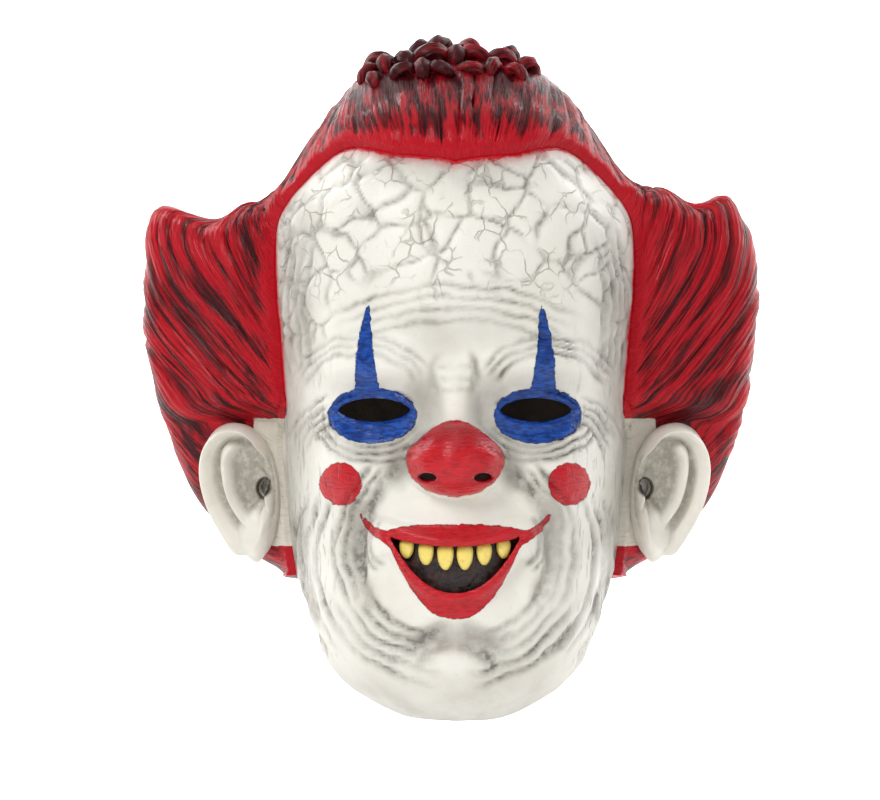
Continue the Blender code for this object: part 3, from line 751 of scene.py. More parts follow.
    def wrinkles(self, sketch: NodeSketch) -> bpy.types.NodeSocket:
        """Fine creases that run down the sides of the face.

        Args:
            sketch: The material being made.

        Returns:
            The creases, from 0 to 1.
        """
        inputs = {"Vector": sketch.place(), "Scale": (520.0, 300.0, 70.0)}
        mapped = sketch.add("ShaderNodeMapping", inputs).outputs["Vector"]
        line = sketch.band(sketch.noise(1.0, 3.0, 0.6, mapped), 0.56, 0.68)
        return sketch.math("MULTIPLY", line, sketch.attribute("cheek_zone"))

    def brush_marks(self, sketch: NodeSketch) -> bpy.types.NodeSocket:
        """Long wavy marks that a brush leaves in thick paint.

        Args:
            sketch: The material being made.

        Returns:
            The marks, from 0 to 1.
        """
        inputs = {"Vector": sketch.place(), "Rotation": (0.0, 0.5, 0.0),
                  "Scale": (240.0, 240.0, 900.0)}
        mapped = sketch.add("ShaderNodeMapping", inputs).outputs["Vector"]
        return sketch.noise(1.0, 3.0, 0.5, mapped)


@dataclass(frozen=True)
class HairPaint:
    """Glossy red latex hair with a maroon wash that sinks between the strands."""

    red: Colour = (0.47, 0.003, 0.012, 1.0)
    mid_red: Colour = (0.17, 0.002, 0.006, 1.0)
    maroon: Colour = (0.045, 0.001, 0.003, 1.0)
    ivory: Colour = (0.70, 0.66, 0.57, 1.0)
    flow: str = "flow"

    def build(self) -> bpy.types.Material:
        """Makes the material."""
        sketch = NodeSketch("painted_hair")
        along_hair = sketch.add("ShaderNodeUVMap", uv_map=self.flow).outputs["UV"]
        broad = self.streaks(sketch, along_hair, (90.0, 24.0, 1.0))
        narrow = self.streaks(sketch, along_hair, (420.0, 46.0, 1.0))
        hairs = self.streaks(sketch, along_hair, (1200.0, 34.0, 1.0))
        groove = sketch.attribute("groove")
        plain = sketch.attribute("plain")
        dark = sketch.math("MULTIPLY", sketch.band(broad, 0.44, 0.64), 0.62)
        dark = sketch.math("ADD", dark, sketch.band(narrow, 0.48, 0.66, 0.0, 0.60))
        dark = sketch.math("ADD", dark, sketch.band(groove, 0.30, 0.95, 0.0, 0.80))
        # Darker towards the top of the hood, and on the curls.
        dark = sketch.math("ADD", dark, sketch.math("MULTIPLY", sketch.attribute("top_darkening"), 0.5))
        dark = sketch.math("SUBTRACT", dark, sketch.math("MULTIPLY", plain, 1.5), True)
        colour = sketch.mix(sketch.band(dark, 0.0, 0.65), self.red, self.mid_red)
        colour = sketch.mix(sketch.band(dark, 0.45, 1.0), colour, self.maroon)
        ragged = sketch.math("SUBTRACT", sketch.noise(300.0, 3.0), 0.5)
        bare = sketch.math("ADD", sketch.attribute("bare"), ragged)
        colour = sketch.mix(sketch.band(bare, 0.35, 0.65), colour, self.ivory)
        relief = sketch.bump(hairs, 0.0007, 0.8)
        relief = sketch.bump(narrow, 0.0014, 0.8, relief)
        wet = sketch.noise(70.0, 2.0)
        return sketch.dress(Base_Color=colour, Roughness=sketch.band(wet, 0.3, 0.7, 0.34, 0.50),
                            Normal=relief, Specular_IOR_Level=0.16, Coat_Weight=0.06,
                            Coat_Roughness=0.10)

    def streaks(self, sketch: NodeSketch, vector: bpy.types.NodeSocket,
                scale: tuple[float, float, float]) -> bpy.types.NodeSocket:
        """Streaks drawn out along the hair.

        Args:
            sketch: The material being made.
            vector: The hair's own coordinates, across and along it, in metres.
            scale: Streaks to the metre, across and along.

        Returns:
            The streaks, from 0 to 1.
        """
        mapped = sketch.add("ShaderNodeMapping", {"Vector": vector, "Scale": scale})
        return sketch.noise(1.0, 3.0, 0.6, mapped.outputs["Vector"])


@dataclass(frozen=True)
class EarPaint:
    """Ivory latex with an olive-grey wash in the hollows, and painted shade round the canal."""

    ivory: Colour = (0.80, 0.77, 0.69, 1.0)
    cream: Colour = (0.70, 0.65, 0.55, 1.0)
    olive: Colour = (0.22, 0.195, 0.145, 1.0)
    brown: Colour = (0.035, 0.020, 0.012, 1.0)

    def build(self) -> bpy.types.Material:
        """Makes the material."""
        sketch = NodeSketch("painted_ear")
        mottle = sketch.noise(60.0, 5.0, 0.6)
        ragged = sketch.noise(330.0, 4.0, 0.6)
        wash = sketch.attribute("hollow_wash")
        canal = sketch.attribute("canal_painted_shade")
        skin = sketch.mix(sketch.band(mottle, 0.42, 0.72, 0.0, 0.6), self.ivory, self.cream)
        ragged_darkening = sketch.math("MULTIPLY", wash, sketch.band(ragged, 0.25, 0.6, 0.55, 1.0))
        skin = sketch.mix(sketch.math("MULTIPLY", ragged_darkening, 0.80, True), skin, self.olive)
        # Painted shade: dark brown round the canal, which opens into the dark inside.
        skin = sketch.mix(sketch.band(canal, 0.2, 0.9), skin, self.brown)
        relief = sketch.bump(ragged, 0.0004, 0.6)
        return sketch.dress(Base_Color=skin, Roughness=sketch.band(mottle, 0.3, 0.7, 0.36, 0.52),
                            Normal=relief, Specular_IOR_Level=0.5)


@dataclass(frozen=True)
class ToothPaint:
    """Thick yellow paint, darker towards the gum."""

    yellow: Colour = (0.88, 0.70, 0.16, 1.0)
    ochre: Colour = (0.52, 0.33, 0.045, 1.0)

    def build(self) -> bpy.types.Material:
        """Makes the material."""
        sketch = NodeSketch("painted_tooth")
        stain = sketch.noise(420.0, 3.0)
        root = sketch.attribute("root")
        shade = sketch.math("ADD", sketch.band(root, 0.55, 1.0, 0.0, 0.8),
                            sketch.band(stain, 0.55, 0.75, 0.0, 0.35))
        colour = sketch.mix(sketch.math("MULTIPLY", shade, 1.0, True), self.yellow, self.ochre)
        return sketch.dress(Base_Color=colour, Roughness=sketch.band(stain, 0.3, 0.7, 0.24, 0.38),
                            Normal=sketch.bump(stain, 0.0003, 0.6), Coat_Weight=0.3)


@dataclass(frozen=True)
class LiningPaint:
    """Black-brown paint inside the mouth."""

    black: Colour = (0.012, 0.007, 0.006, 1.0)
    brown: Colour = (0.055, 0.022, 0.016, 1.0)

    def build(self) -> bpy.types.Material:
        """Makes the material."""
        sketch = NodeSketch("mouth_black")
        lumps = sketch.noise(240.0, 3.0)
        colour = sketch.mix(sketch.band(lumps, 0.4, 0.7), self.black, self.brown)
        return sketch.dress(Base_Color=colour, Roughness=sketch.band(lumps, 0.3, 0.7, 0.25, 0.45),
                            Normal=sketch.bump(lumps, 0.0012, 0.8))


@dataclass(frozen=True)
class StudioPaper:
    """Pale seamless paper."""

    colour: Colour = (0.86, 0.86, 0.855, 1.0)

    def build(self) -> bpy.types.Material:
        """Makes the material."""
        sketch = NodeSketch("studio_paper")
        fibre = sketch.noise(90.0, 3.0)
        return sketch.dress(Base_Color=self.colour, Roughness=0.9,
                            Normal=sketch.bump(fibre, 0.0003, 0.2))


def sheet_mesh(points: Array) -> bmesh.types.BMesh:
    """A grid laid through points.

    Args:
        points: Places in rows and columns.

    Returns:
        The grid, whose layers "row" and "column" say where each vertex lies.
    """
    rows, columns = points.shape[0] - 1, points.shape[1] - 1
    grid = bmesh.new()
    bmesh.ops.create_grid(grid, x_segments=columns, y_segments=rows, size=0.5)
    column_layer = grid.verts.layers.int.new("column")
    row_layer = grid.verts.layers.int.new("row")
    for vertex in grid.verts:
        column = round((vertex.co.x + 0.5) * columns)
        row = round((vertex.co.y + 0.5) * rows)
        vertex[column_layer], vertex[row_layer] = column, row
        vertex.co = points[row, column]
    grid.normal_update()
    return grid


def coordinates(mesh_data: bmesh.types.BMesh) -> Array:
    """The places of a bmesh's vertices, in order."""
    return np.array([vertex.co[:] for vertex in mesh_data.verts])


def open_hole(mesh_data: bmesh.types.BMesh, reach: Callable[[Array], Array]) -> None:
    """Cuts a hole along a smooth outline.

    Args:
        mesh_data: The mesh to cut.
        reach: Gives, for places, how far inside the hole they are; negative is outside.
    """
    mesh_data.verts.index_update()
    depth = reach(coordinates(mesh_data))
    depth = np.where(np.abs(depth) < 1e-6, 1e-6, depth)
    crossing = []
    for edge in list(mesh_data.edges):
        first, second = edge.verts
        start, end = depth[first.index], depth[second.index]
        if start * end < 0:
            crossing.append((edge, first, start / (start - end)))
    fresh = [bmesh.utils.edge_split(edge, first, share)[1] for edge, first, share in crossing]
    bmesh.ops.connect_verts(mesh_data, verts=fresh)
    centres = np.array([face.calc_center_median()[:] for face in mesh_data.faces])
    inside = reach(centres) > 0
    doomed = [face for face, gone in zip(mesh_data.faces, inside) if gone]
    bmesh.ops.delete(mesh_data, geom=doomed, context="FACES")


def finish_mesh(name: str, mesh_data: bmesh.types.BMesh, materials: Iterable[bpy.types.Material],
                sharp_angle: float = 60.0) -> bpy.types.Object:
    """Makes a shaded object from a bmesh.

    Args:
        name: The piece's name.
        mesh_data: Its mesh, which is used up.
        materials: Its materials, in slot order.
        sharp_angle: Edges that bend more than this, in degrees, stay sharp.

    Returns:
        The object, at the origin.
    """
    mesh = bpy.data.meshes.new(name)
    mesh_data.to_mesh(mesh)
    mesh_data.free()
    mesh.shade_smooth()
    mesh.set_sharp_from_angle(angle=math.radians(sharp_angle))
    for material in materials:
        mesh.materials.append(material)
    piece = bpy.data.objects.new(name, mesh)
    bpy.context.scene.collection.objects.link(piece)
    return piece


def store(mesh: bpy.types.Mesh, name: str, values: Array) -> None:
    """Stores one value for each vertex of a mesh."""
    layer = mesh.attributes.new(name, "FLOAT", "POINT")
    layer.data.foreach_set("value", np.asarray(values, np.float32))


def mesh_points(mesh: bpy.types.Mesh) -> Array:
    """The places of a mesh's vertices."""
    flat = np.empty(len(mesh.vertices) * 3, np.float32)
    mesh.vertices.foreach_get("co", flat)
    return flat.reshape(-1, 3).astype(float)


def report(piece: bpy.types.Object) -> None:
    """Logs a piece's name and its number of faces."""
    log.info("%s: %d faces", piece.name, len(piece.data.polygons))


@dataclass(frozen=True)
class StrandPaths:
    """Which way the hair runs over the head."""

    lift: float = 1.5

    def through_keys(self, share: Array, start: Array, middle: Array, end: Array) -> Array:
        """Runs from start through middle to end, easing a little at each."""
        eased = start + (middle - start) * smooth_step(share * 2)
        eased = eased + (end - middle) * smooth_step(share * 2 - 1)
        straight = start + (middle - start) * np.clip(share * 2, 0, 1)
        straight = straight + (end - middle) * np.clip(share * 2 - 1, 0, 1)
        return 0.65 * straight + 0.35 * eased

    def aims(self, azimuths: Sequence[float], heights: Sequence[float], across: Array) -> Array:
        """Directions from the head's centre, read along the guide strands."""
        z = HEAD.chin + HEAD.mask_height * np.asarray(heights, float)
        azimuth = np.asarray(azimuths, float)
        rays = HEAD.skin(azimuth, z)
        rays[:, 2] -= HEAD.eyes + HEAD.centre_above_eyes
        rays = unit(rays)
        places = np.linspace(0, 1, len(rays))
        return unit(np.stack([read_smoothly(across, places, rays[:, k]) for k in range(3)], -1))

    def directions(self, across: Array, along: Array) -> Array:
        """Directions of hair points.

        Args:
            across: 0 on the nape strand and 1 on the peak strand.
            along: 0 at the hairline and 1 at the middle of the back.

        Returns:
            Unit vectors from the head's centre. Side strands keep their level round the head, and
            crest strands go straight over it.
        """
        starts = [(row.start_azimuth, row.start_height) for row in STRANDS]
        flares = [(row.flare_azimuth, row.flare_height) for row in STRANDS]
        ends = [(180.0, row.end_height) for row in STRANDS]
        keys = [self.aims(*zip(*rows), across) for rows in (starts, flares, ends)]
        over = unit(self.through_keys(along[..., None], *keys))
        turns = [np.arctan2(key[..., 0], -key[..., 1]) for key in keys]
        turns[2] = np.full_like(across, math.pi)
        slopes = [key[..., 2] / np.hypot(key[..., 0], key[..., 1]) for key in keys]
        turn = self.through_keys(along, *turns)
        slope = self.through_keys(along, *slopes)
        level = unit(np.stack([np.sin(turn), -np.cos(turn), slope], axis=-1))
        crest = smooth_step((across - 0.50) / 0.22)[..., None]
        return unit(level * (1 - crest) + over * crest)

    def sweep(self, strand: Array, along: Array) -> Array:
        """Where a strand runs: low strands sweep up over the flares as they go back."""
        return strand + self.lift * smooth_step(along / 0.46) * strand * (1 - strand) ** 2


PATHS = StrandPaths()


class HairEdge:
    """The line along which the hair meets the face, on the viewer's right."""

    def __init__(self, samples: int = 600) -> None:
        """Finds the line, and the way past it at each of its points."""
        across = np.linspace(0, 1, samples)
        self.points = HEAD.cast_to_skin(PATHS.directions(across, 0 * across))
        onward = HEAD.cast_to_skin(PATHS.directions(across, 0 * across + 0.03)) - self.points
        line = unit(np.gradient(self.points, axis=0))
        onward -= line * (onward * line).sum(axis=1, keepdims=True)
        self.ways = unit(onward)
        self.tree = KDTree(samples)
        for index, point in enumerate(self.points):
            self.tree.insert(point, index)
        self.tree.balance()

    def reach(self, places: Array) -> Array:
        """How far past the line places are, in millimetres; negative is on the face's side."""
        flat = places.reshape(-1, 3) * [1.0, 1.0, 1.0]
        flat[:, 0] = np.abs(flat[:, 0])
        result = np.empty(len(flat))
        for index, place in enumerate(flat):
            _nearest, found, distance = self.tree.find(place)
            side = (place - self.points[found]).dot(self.ways[found])
            result[index] = math.copysign(distance, side)
        return result.reshape(places.shape[:-1]) / MM


HAIR_EDGE = HairEdge()


@dataclass(frozen=True)
class EyeSlit:
    """The slits that the wearer looks through."""

    offset: float = 0.036
    width: float = 0.032
    height: float = 0.0105
    swell: float = 0.0022
    depth: float = 0.0075
    corner: float = 1.3

    def reach(self, x: Array, z: Array) -> Array:
        """How far inside a slit places are, seen from the front; negative is outside."""
        along = (np.abs(x) - self.offset) / (self.width / 2)
        half = self.height / 2 * np.clip(1 - along**2, 0, 1) ** (self.corner / 2)
        above = np.abs(z - HEAD.eyes)
        beyond = np.maximum(np.abs(along) - 1, 0) * self.width / 2
        return half - above - beyond

    def push(self, x: Array, z: Array) -> Array:
        """The socket round each slit, the swelling under it and the rolled lids."""
        across = np.abs(x)
        socket = dome(across, z, (self.offset, HEAD.eyes), (0.66 * self.width, 0.016), 1.5)
        bag = dome(across, z, (self.offset, HEAD.eyes - 0.003), (0.62 * self.width, 0.012), 1.0)
        outside = np.maximum(-self.reach(x, z), 0) / MM
        roll = np.exp(-(((outside - 1.9) / 1.5) ** 2))
        return self.swell * bag - self.depth * socket + 1.3 * MM * roll


@dataclass(frozen=True)
class Nose:
    """A rounded nose with wings and two nostrils."""

    below_eyes: float = 0.0215
    width: float = 0.047
    height: float = 0.036
    reach_out: float = 0.025
    bridge: float = 0.009
    nostril_offset: float = 0.0125
    nostril_drop: float = 0.0085
    nostril_width: float = 0.0085
    nostril_height: float = 0.0046

    @property
    def level(self) -> float:
        """Level of the nose's centre."""
        return HEAD.eyes - self.below_eyes

    def reach(self, x: Array, z: Array) -> Array:
        """How far inside a nostril places are, seen from the front."""
        across = (np.abs(x) - self.nostril_offset) / (self.nostril_width / 2)
        above = (z - self.level + self.nostril_drop) / (self.nostril_height / 2)
        return (1 - np.hypot(across, above)) * self.nostril_height / 2

    def push(self, x: Array, z: Array) -> Array:
        """How far the nose stands out."""
        narrow = 1 - 0.20 * smooth_step((z - self.level) / (0.5 * self.height))
        half = self.width / 2
        bulb = dome(x / narrow, z, (0.0, self.level), (half, self.height / 2), 0.62)
        bridge = dome(x, z, (0.0, HEAD.eyes - 0.002),
                      (0.26 * self.width, 0.62 * self.height), 1.2)
        wing_centre = (0.72 * half, self.level - 0.20 * self.height)
        wing = dome(np.abs(x), z, wing_centre, (0.34 * half, 0.30 * self.height), 1.0)
        rim = np.exp(-((np.maximum(-self.reach(x, z), 0) / MM - 1.3) ** 2))
        push = np.maximum(self.reach_out * bulb, self.bridge * bridge)
        return push + (1.6 * wing + 0.5 * rim) * MM


@dataclass(frozen=True)
class Mouth:
    """The open smile: a crescent with lips round it."""

    below_eyes: float = 0.0565
    width: float = 0.058
    top_sag: float = 0.004
    depth: float = 0.0245
    lip_width: float = 0.0095
    lip_swell: float = 0.0045

    @property
    def level(self) -> float:
        """Level of the smile's corners."""
        return HEAD.eyes - self.below_eyes

    def top(self, x: Array) -> Array:
        """Level of the opening's top edge."""
        share = np.clip(np.abs(x) / (self.width / 2), 0, 1)
        return self.level - self.top_sag * (1 - share**2)

    def bottom(self, x: Array) -> Array:
        """Level of the opening's bottom edge."""
        share = np.clip(np.abs(x) / (self.width / 2), 0, 1)
        return self.level - self.depth * (1 - share**2.2)

    def reach(self, x: Array, z: Array) -> Array:
        """How far inside the opening places are, seen from the front."""
        beyond = np.maximum(np.abs(x) - self.width / 2, 0)
        return np.minimum(self.top(x) - z, z - self.bottom(x)) - beyond

    def push(self, x: Array, z: Array) -> Array:
        """The lips: a rounded roll round the opening, that turns in at its edge."""
        middle = (self.top(x) + self.bottom(x)) / 2
        half = (self.top(x) - self.bottom(x)) / 2 + self.lip_width
        sideways = np.abs(x) / (self.width / 2 + 0.8 * self.lip_width)
        share = 1 - np.maximum(np.abs(z - middle) / half, sideways**3)
        outside = np.maximum(-self.reach(x, z), 0) / MM
        return self.lip_swell * smooth_step(share * 2.6) - 1.1 * MM * np.exp(-((outside / 1.4) ** 2))


@dataclass(frozen=True)
class PaintPlan:
    """Where the coloured paint goes, in millimetres from the middle of the eye line."""

    patch: tuple[float, float] = (37.0, -2.5)
    patch_radii: tuple[float, float] = (20.0, 12.5)
    point_across: float = 38.5
    point_top: float = 47.0
    point_base: float = 4.0
    point_half_width: float = 6.0
    nose_radii: tuple[float, float] = (22.0, 17.0)
    disc: tuple[float, float] = (51.0, -33.0)
    disc_radius: float = 9.5
    upper_lip: float = 9.0
    lower_lip: float = 11.0
    lip_half_width: float = 34.0
    tail_end: tuple[float, float] = (42.0, -47.0)
    tail_radius: float = 2.9

    def blue(self, x: Array, z: Array) -> Array:
        """How far inside the blue paint places are, in millimetres."""
        across, above = np.abs(x) - self.patch[0], z - self.patch[1]
        patch = 1 - np.hypot(across / self.patch_radii[0], above / self.patch_radii[1])
        share = np.clip((z - self.point_base) / (self.point_top - self.point_base), 0, 1)
        half = self.point_half_width * (1 - share) ** 0.65
        lean = self.point_across + 1.5 * np.sin(share * math.pi)
        point = half - np.abs(np.abs(x) - lean) - np.maximum(self.point_base - z, 0)
        point -= np.maximum(z - self.point_top, 0)
        return np.maximum(patch * self.patch_radii[1], point)

    def nose(self, x: Array, z: Array, nose: Nose) -> Array:
        """How far inside the nose's red paint places are, in millimetres."""
        above = z + nose.below_eyes / MM
        narrow = 1 - 0.30 * smooth_step(above / self.nose_radii[1])
        return (1 - np.hypot(x / (self.nose_radii[0] * narrow), above / self.nose_radii[1])) * 16

    def lips(self, x: Array, z: Array, mouth: Mouth) -> Array:
        """How far inside the lips' red paint places are, in millimetres."""
        share = np.clip(np.abs(x) / self.lip_half_width, 0, 1)
        level = HEAD.eyes / MM
        upper = mouth.top(x * MM) / MM - level + self.upper_lip * (1 - share**2.4) + 0.8
        lower = mouth.bottom(x * MM) / MM - level - self.lower_lip * (1 - share**2.2) - 0.8
        lips = np.minimum(upper - z, z - lower) - np.maximum(np.abs(x) - self.lip_half_width, 0)
        return np.maximum(lips, self.tail(x, z, -mouth.below_eyes / MM))

    def tail(self, x: Array, z: Array, level: float) -> Array:
        """The short tail of paint that lifts from each corner of the smile."""
        start = np.array([self.lip_half_width - 5.0, level])
        link = np.array(self.tail_end) - start
        across, above = np.abs(x) - start[0], z - start[1]
        share = np.clip((across * link[0] + above * link[1]) / link.dot(link), 0, 1)
        bow = 1.6 * np.sin(share * math.pi)
        away = np.hypot(across - share * link[0] - bow * 0.6, above - share * link[1] + bow)
        return self.tail_radius * (1 - 0.72 * share) - away

    def red(self, x: Array, z: Array, mouth: Mouth, nose: Nose) -> Array:
        """How far inside any red paint places are, in millimetres."""
        disc = self.disc_radius - np.hypot(np.abs(x) - self.disc[0], z - self.disc[1])
        return np.maximum(np.maximum(disc, self.lips(x, z, mouth)), self.nose(x, z, nose))


@dataclass(frozen=True)
class Creases:
    """Folds, cracked plates and the grain of the sculpted skin."""

    plate_size: float = 0.021
    plate_depth: float = 0.0009
    plate_breadth: float = 0.0008
    plates_above_eyes: float = 0.050
    wobble_mm: float = 2.0
    fade_degrees: float = 14.0

    def folds(self, points: Array) -> tuple[Array, Array]:
        """The named folds.

        Args:
            points: Places on the face.

        Returns:
            Their height in metres, and their wash from 0 to 1.
        """
        across = np.abs(points[:, 0]) / MM
        above = (points[:, 2] - HEAD.eyes) / MM
        wobble = self.wobble_mm * (grain(points, 0.016, 3.0) + 0.5 * grain(points, 0.006, 5.0))
        strength = 0.45 + 0.75 * smooth_step(0.5 + grain(points, 0.020, 9.0))
        height, wash = np.zeros(len(points)), np.zeros(len(points))
        for fold in FOLDS:
            for index in range(fold.count):
                away, shown = self.away_from(fold, index, across, above)
                away = (away + wobble) / fold.breadth
                cut = np.exp(-(away**2)) - 0.35 * np.exp(-(((np.abs(away) - 2.1) / 1.1) ** 2))
                height -= fold.depth * MM * cut * shown * strength
                stain = np.exp(-((away / 1.25) ** 2)) * shown * strength
                wash = np.maximum(wash, stain * min(1.0, 0.35 + fold.depth * 0.75))
        return height, wash

    def away_from(self, fold: Fold, index: int, across: Array, above: Array) -> tuple[Array, Array]:
        """Distance from one crease of a family, and how strongly it shows there."""
        half_width = fold.half_width + index * fold.step
        half_height = fold.half_height + index * fold.step
        right, up = (across - fold.across) / half_width, (above - fold.above_eyes) / half_height
        turn = np.degrees(np.arctan2(up, right))
        away = (np.hypot(right, up) - 1) * np.hypot(half_width * np.cos(np.radians(turn)),
                                                    half_height * np.sin(np.radians(turn)))
        middle, span = (fold.start + fold.end) / 2, (fold.end - fold.start) / 2
        span = span * (1 - 0.05 * (index % 3))
        off = np.abs((turn - middle + 180) % 360 - 180)
        return away, smooth_step((span - off) / self.fade_degrees)

    def plates(self, points: Array) -> tuple[Array, Array]:
        """The cracked plates of the forehead: height in metres, and wash from 0 to 1."""
        bend = np.stack([grain(points, 0.011, seed) for seed in (11.0, 13.0, 17.0)], axis=-1)
        bent = points + 0.0032 * bend
        edge = cell_edges(bent * np.array([1.0, 1.0, 1.15]), self.plate_size)
        above = points[:, 2] - HEAD.eyes
        high = smooth_step((above - self.plates_above_eyes) / 0.016)
        side = smooth_step((np.abs(points[:, 0]) - 0.050) / 0.012)
        high = np.maximum(high, side * smooth_step((above - 0.020) / 0.020))
        broken = smooth_step(grain(points, 0.014, 21.0) * 2.4 + 1.15)
        cut = np.exp(-((edge / self.plate_breadth) ** 2)) * broken
        pillow = 0.45 * MM * (1 - np.exp(-((edge / 0.0030) ** 2)))
        height = high * (pillow - self.plate_depth * cut)
        stain = np.exp(-((edge / (1.25 * self.plate_breadth)) ** 2)) * broken
        return height, high * stain * 0.95

    def skin(self, points: Array) -> Array:
        """The unevenness of a hand-sculpted skin, in metres."""
        soft = 0.55 * MM * grain(points, 0.030, 31.0) + 0.22 * MM * grain(points, 0.009, 37.0)
        return soft + 0.09 * MM * grain(points, 0.0032, 41.0)


@dataclass(frozen=True)
class FaceCasting:
    """The face: one latex casting with its holes, folds and paint."""

    columns: int = 196
    rows: int = 214
    eye: EyeSlit = field(default_factory=EyeSlit)
    nose: Nose = field(default_factory=Nose)
    mouth: Mouth = field(default_factory=Mouth)
    creases: Creases = field(default_factory=Creases)
    paint: PaintPlan = field(default_factory=PaintPlan)

    def push(self, x: Array, z: Array) -> Array:
        """How far the face stands out of the plain section, towards -Y."""
        size, across = HEAD.face_half_width, np.abs(x)
        push = np.zeros_like(x)
        for row in SWELLINGS:
            centre = (row.across * size, HEAD.eyes + row.above_eyes * size)
            radii = (row.half_width * size, row.half_height * size)
            push += row.push * size * dome(across, z, centre, radii)
        return push + self.eye.push(x, z) + self.nose.push(x, z) + self.mouth.push(x, z)

    def skin(self, azimuth: Array, z: Array) -> Array:
        """Points of the face's outer skin, on the viewer's right."""
        points = HEAD.skin(azimuth, z, flared=False)
        points[..., 1] -= self.push(points[..., 0], z)
        return points

    def sheet(self) -> tuple[Array, Array, Array]:
        """Lays out the face.

        Returns:
            Its points, how little relief each takes, and how far each lies past the hair's edge,
            in millimetres.
        """
        side, up = np.meshgrid(np.linspace(-1, 1, self.columns + 1),
                               np.linspace(0, 1, self.rows + 1))
        turn = read_smoothly(np.abs(side), [0, 0.60, 1], [0, 0.50, 1])
        rise = read_smoothly(up, [0, 0.12, 0.65, 1], [0, 0.165, 0.60, 1])
        azimuth = turn * HEAD.hairline_angle
        for _ in range(3):
            bottom = HEAD.rim_level(azimuth)
            hairline = HEAD.hairline_level(np.minimum(azimuth, HEAD.hairline_angle))
            z = bottom + (hairline + HEAD.lap - bottom) * rise
            azimuth = turn * (HEAD.side_angle(z) + math.degrees(HEAD.lap / HEAD.face_half_width))
        points = HEAD.skin(azimuth, z)
        reach = HAIR_EDGE.reach(points)
        push = self.push(points[..., 0], z) * (1 - smooth_step((reach + 9) / 8))
        sink = HEAD.lap_sink * smooth_step((reach - 0.5) / 3.5)
        points[..., 0] -= sink * np.sin(np.radians(azimuth))
        points[..., 1] += sink * np.cos(np.radians(azimuth)) - push
        points[..., 0] *= np.sign(side)
        return points, smooth_step((reach + 3.5) / 3), reach

    def build(self, dress: Sequence[bpy.types.Material]) -> bpy.types.Object:
        """Makes the painted casting.

        Args:
            dress: The paint outside, and the inside latex, coloured dark as painted shade.

        Returns:
            The piece.
        """
        points, under, hair_reach = self.sheet()
        normals = sheet_normals(points)
        if normals[..., 1].mean() > 0:
            normals = -normals
        flat = points.reshape(-1, 3)
        fold_height, fold_wash = self.creases.folds(flat)
        plate_height, plate_wash = self.creases.plates(flat)
        height = fold_height + plate_height + self.creases.skin(flat)
        height = height.reshape(under.shape) * (1 - under)
        points = points + normals * height[..., None]
        wash = np.maximum(fold_wash, plate_wash).reshape(under.shape)
        mesh_data = sheet_mesh(points)
        for name, values in (("wash", wash), ("hair", hair_reach)):
            layer = mesh_data.verts.layers.float.new(name)
            for vertex, value in zip(mesh_data.verts, self.in_order(mesh_data, values)):
                vertex[layer] = value
        outward = sum(face.normal.y for face in mesh_data.faces)
        if outward > 0:
            bmesh.ops.reverse_faces(mesh_data, faces=mesh_data.faces)
        for hole in (self.eye, self.nose, self.mouth):
            open_hole(mesh_data, lambda places, hole=hole: self.frontal(places, hole.reach))
        piece = finish_mesh("face_casting", mesh_data, dress)
        wall = piece.modifiers.new("wall", "SOLIDIFY")
        wall.thickness = HEAD.face_wall
        wall.offset = -1.0
        wall.material_offset = 1
        wall.material_offset_rim = 0
        self.paint_on(piece.data)
        return piece

    def in_order(self, mesh_data: bmesh.types.BMesh, values: Array) -> Array:
        """Values of a sheet, in the order of its mesh's vertices."""
        columns = mesh_data.verts.layers.int["column"]
        rows = mesh_data.verts.layers.int["row"]
        places = np.array([(vertex[rows], vertex[columns]) for vertex in mesh_data.verts])
        return values[places[:, 0], places[:, 1]]

    def frontal(self, places: Array, reach: Callable[[Array, Array], Array]) -> Array:
        """A hole's reach on the front of the face only."""
        inside = reach(places[:, 0], places[:, 2])
        return np.where(places[:, 1] < -0.5 * HEAD.face_depth, inside, -0.01)

    def paint_on(self, mesh: bpy.types.Mesh) -> None:
        """Stores on the mesh where each paint and wash goes."""
        points = mesh_points(mesh)
        x, z = points[:, 0] / MM, (points[:, 2] - HEAD.eyes) / MM
        store(mesh, "blue_reach", self.paint.blue(x, z))
        store(mesh, "red_reach", self.paint.red(x, z, self.mouth, self.nose))
        above_nose = (z + self.nose.below_eyes / MM) / (self.nose.height / MM)
        near_nose = smooth_step(self.paint.nose(x, z, self.nose) / 3.0)
        store(mesh, "nose_shade", near_nose * smooth_step(above_nose * 2.6 - 0.1))
        wash = np.array([item.value for item in mesh.attributes["wash"].data])
        hair = np.array([item.value for item in mesh.attributes["hair"].data])
        # Painted shade: the wash darkens round the eye slits and nostrils, where they open into the
        # dark inside.
        hole = np.maximum(self.eye.reach(points[:, 0], points[:, 2]),
                          self.nose.reach(points[:, 0], points[:, 2]))
        wash = np.maximum(wash, 0.8 * np.exp(-((np.minimum(hole, 0) / MM / 0.9) ** 2)))
        store(mesh, "crease_wash_and_hole_shade", np.clip(wash, 0, 1))
        below_sideburn = smooth_step((HEAD.eyes - 0.002 - points[:, 2]) / 0.003)
        store(mesh, "hair_reach", hair - 20 * below_sideburn)
        # Painted shade beside the nose, round the eyes, at the sides, along the hairline and under the
        # jaw.
        store(mesh, "broad_painted_shade", self.broad_painted_shade(x, z, hair))
        store(mesh, "plate_zone", smooth_step((z - 40) / 20))
        cheek = smooth_step((np.abs(x) - 46) / 14) * smooth_step((30 - z) / 30)
        store(mesh, "cheek_zone", cheek)
        for name in ("wash", "hair", "row", "column"):
            mesh.attributes.remove(mesh.attributes[name])

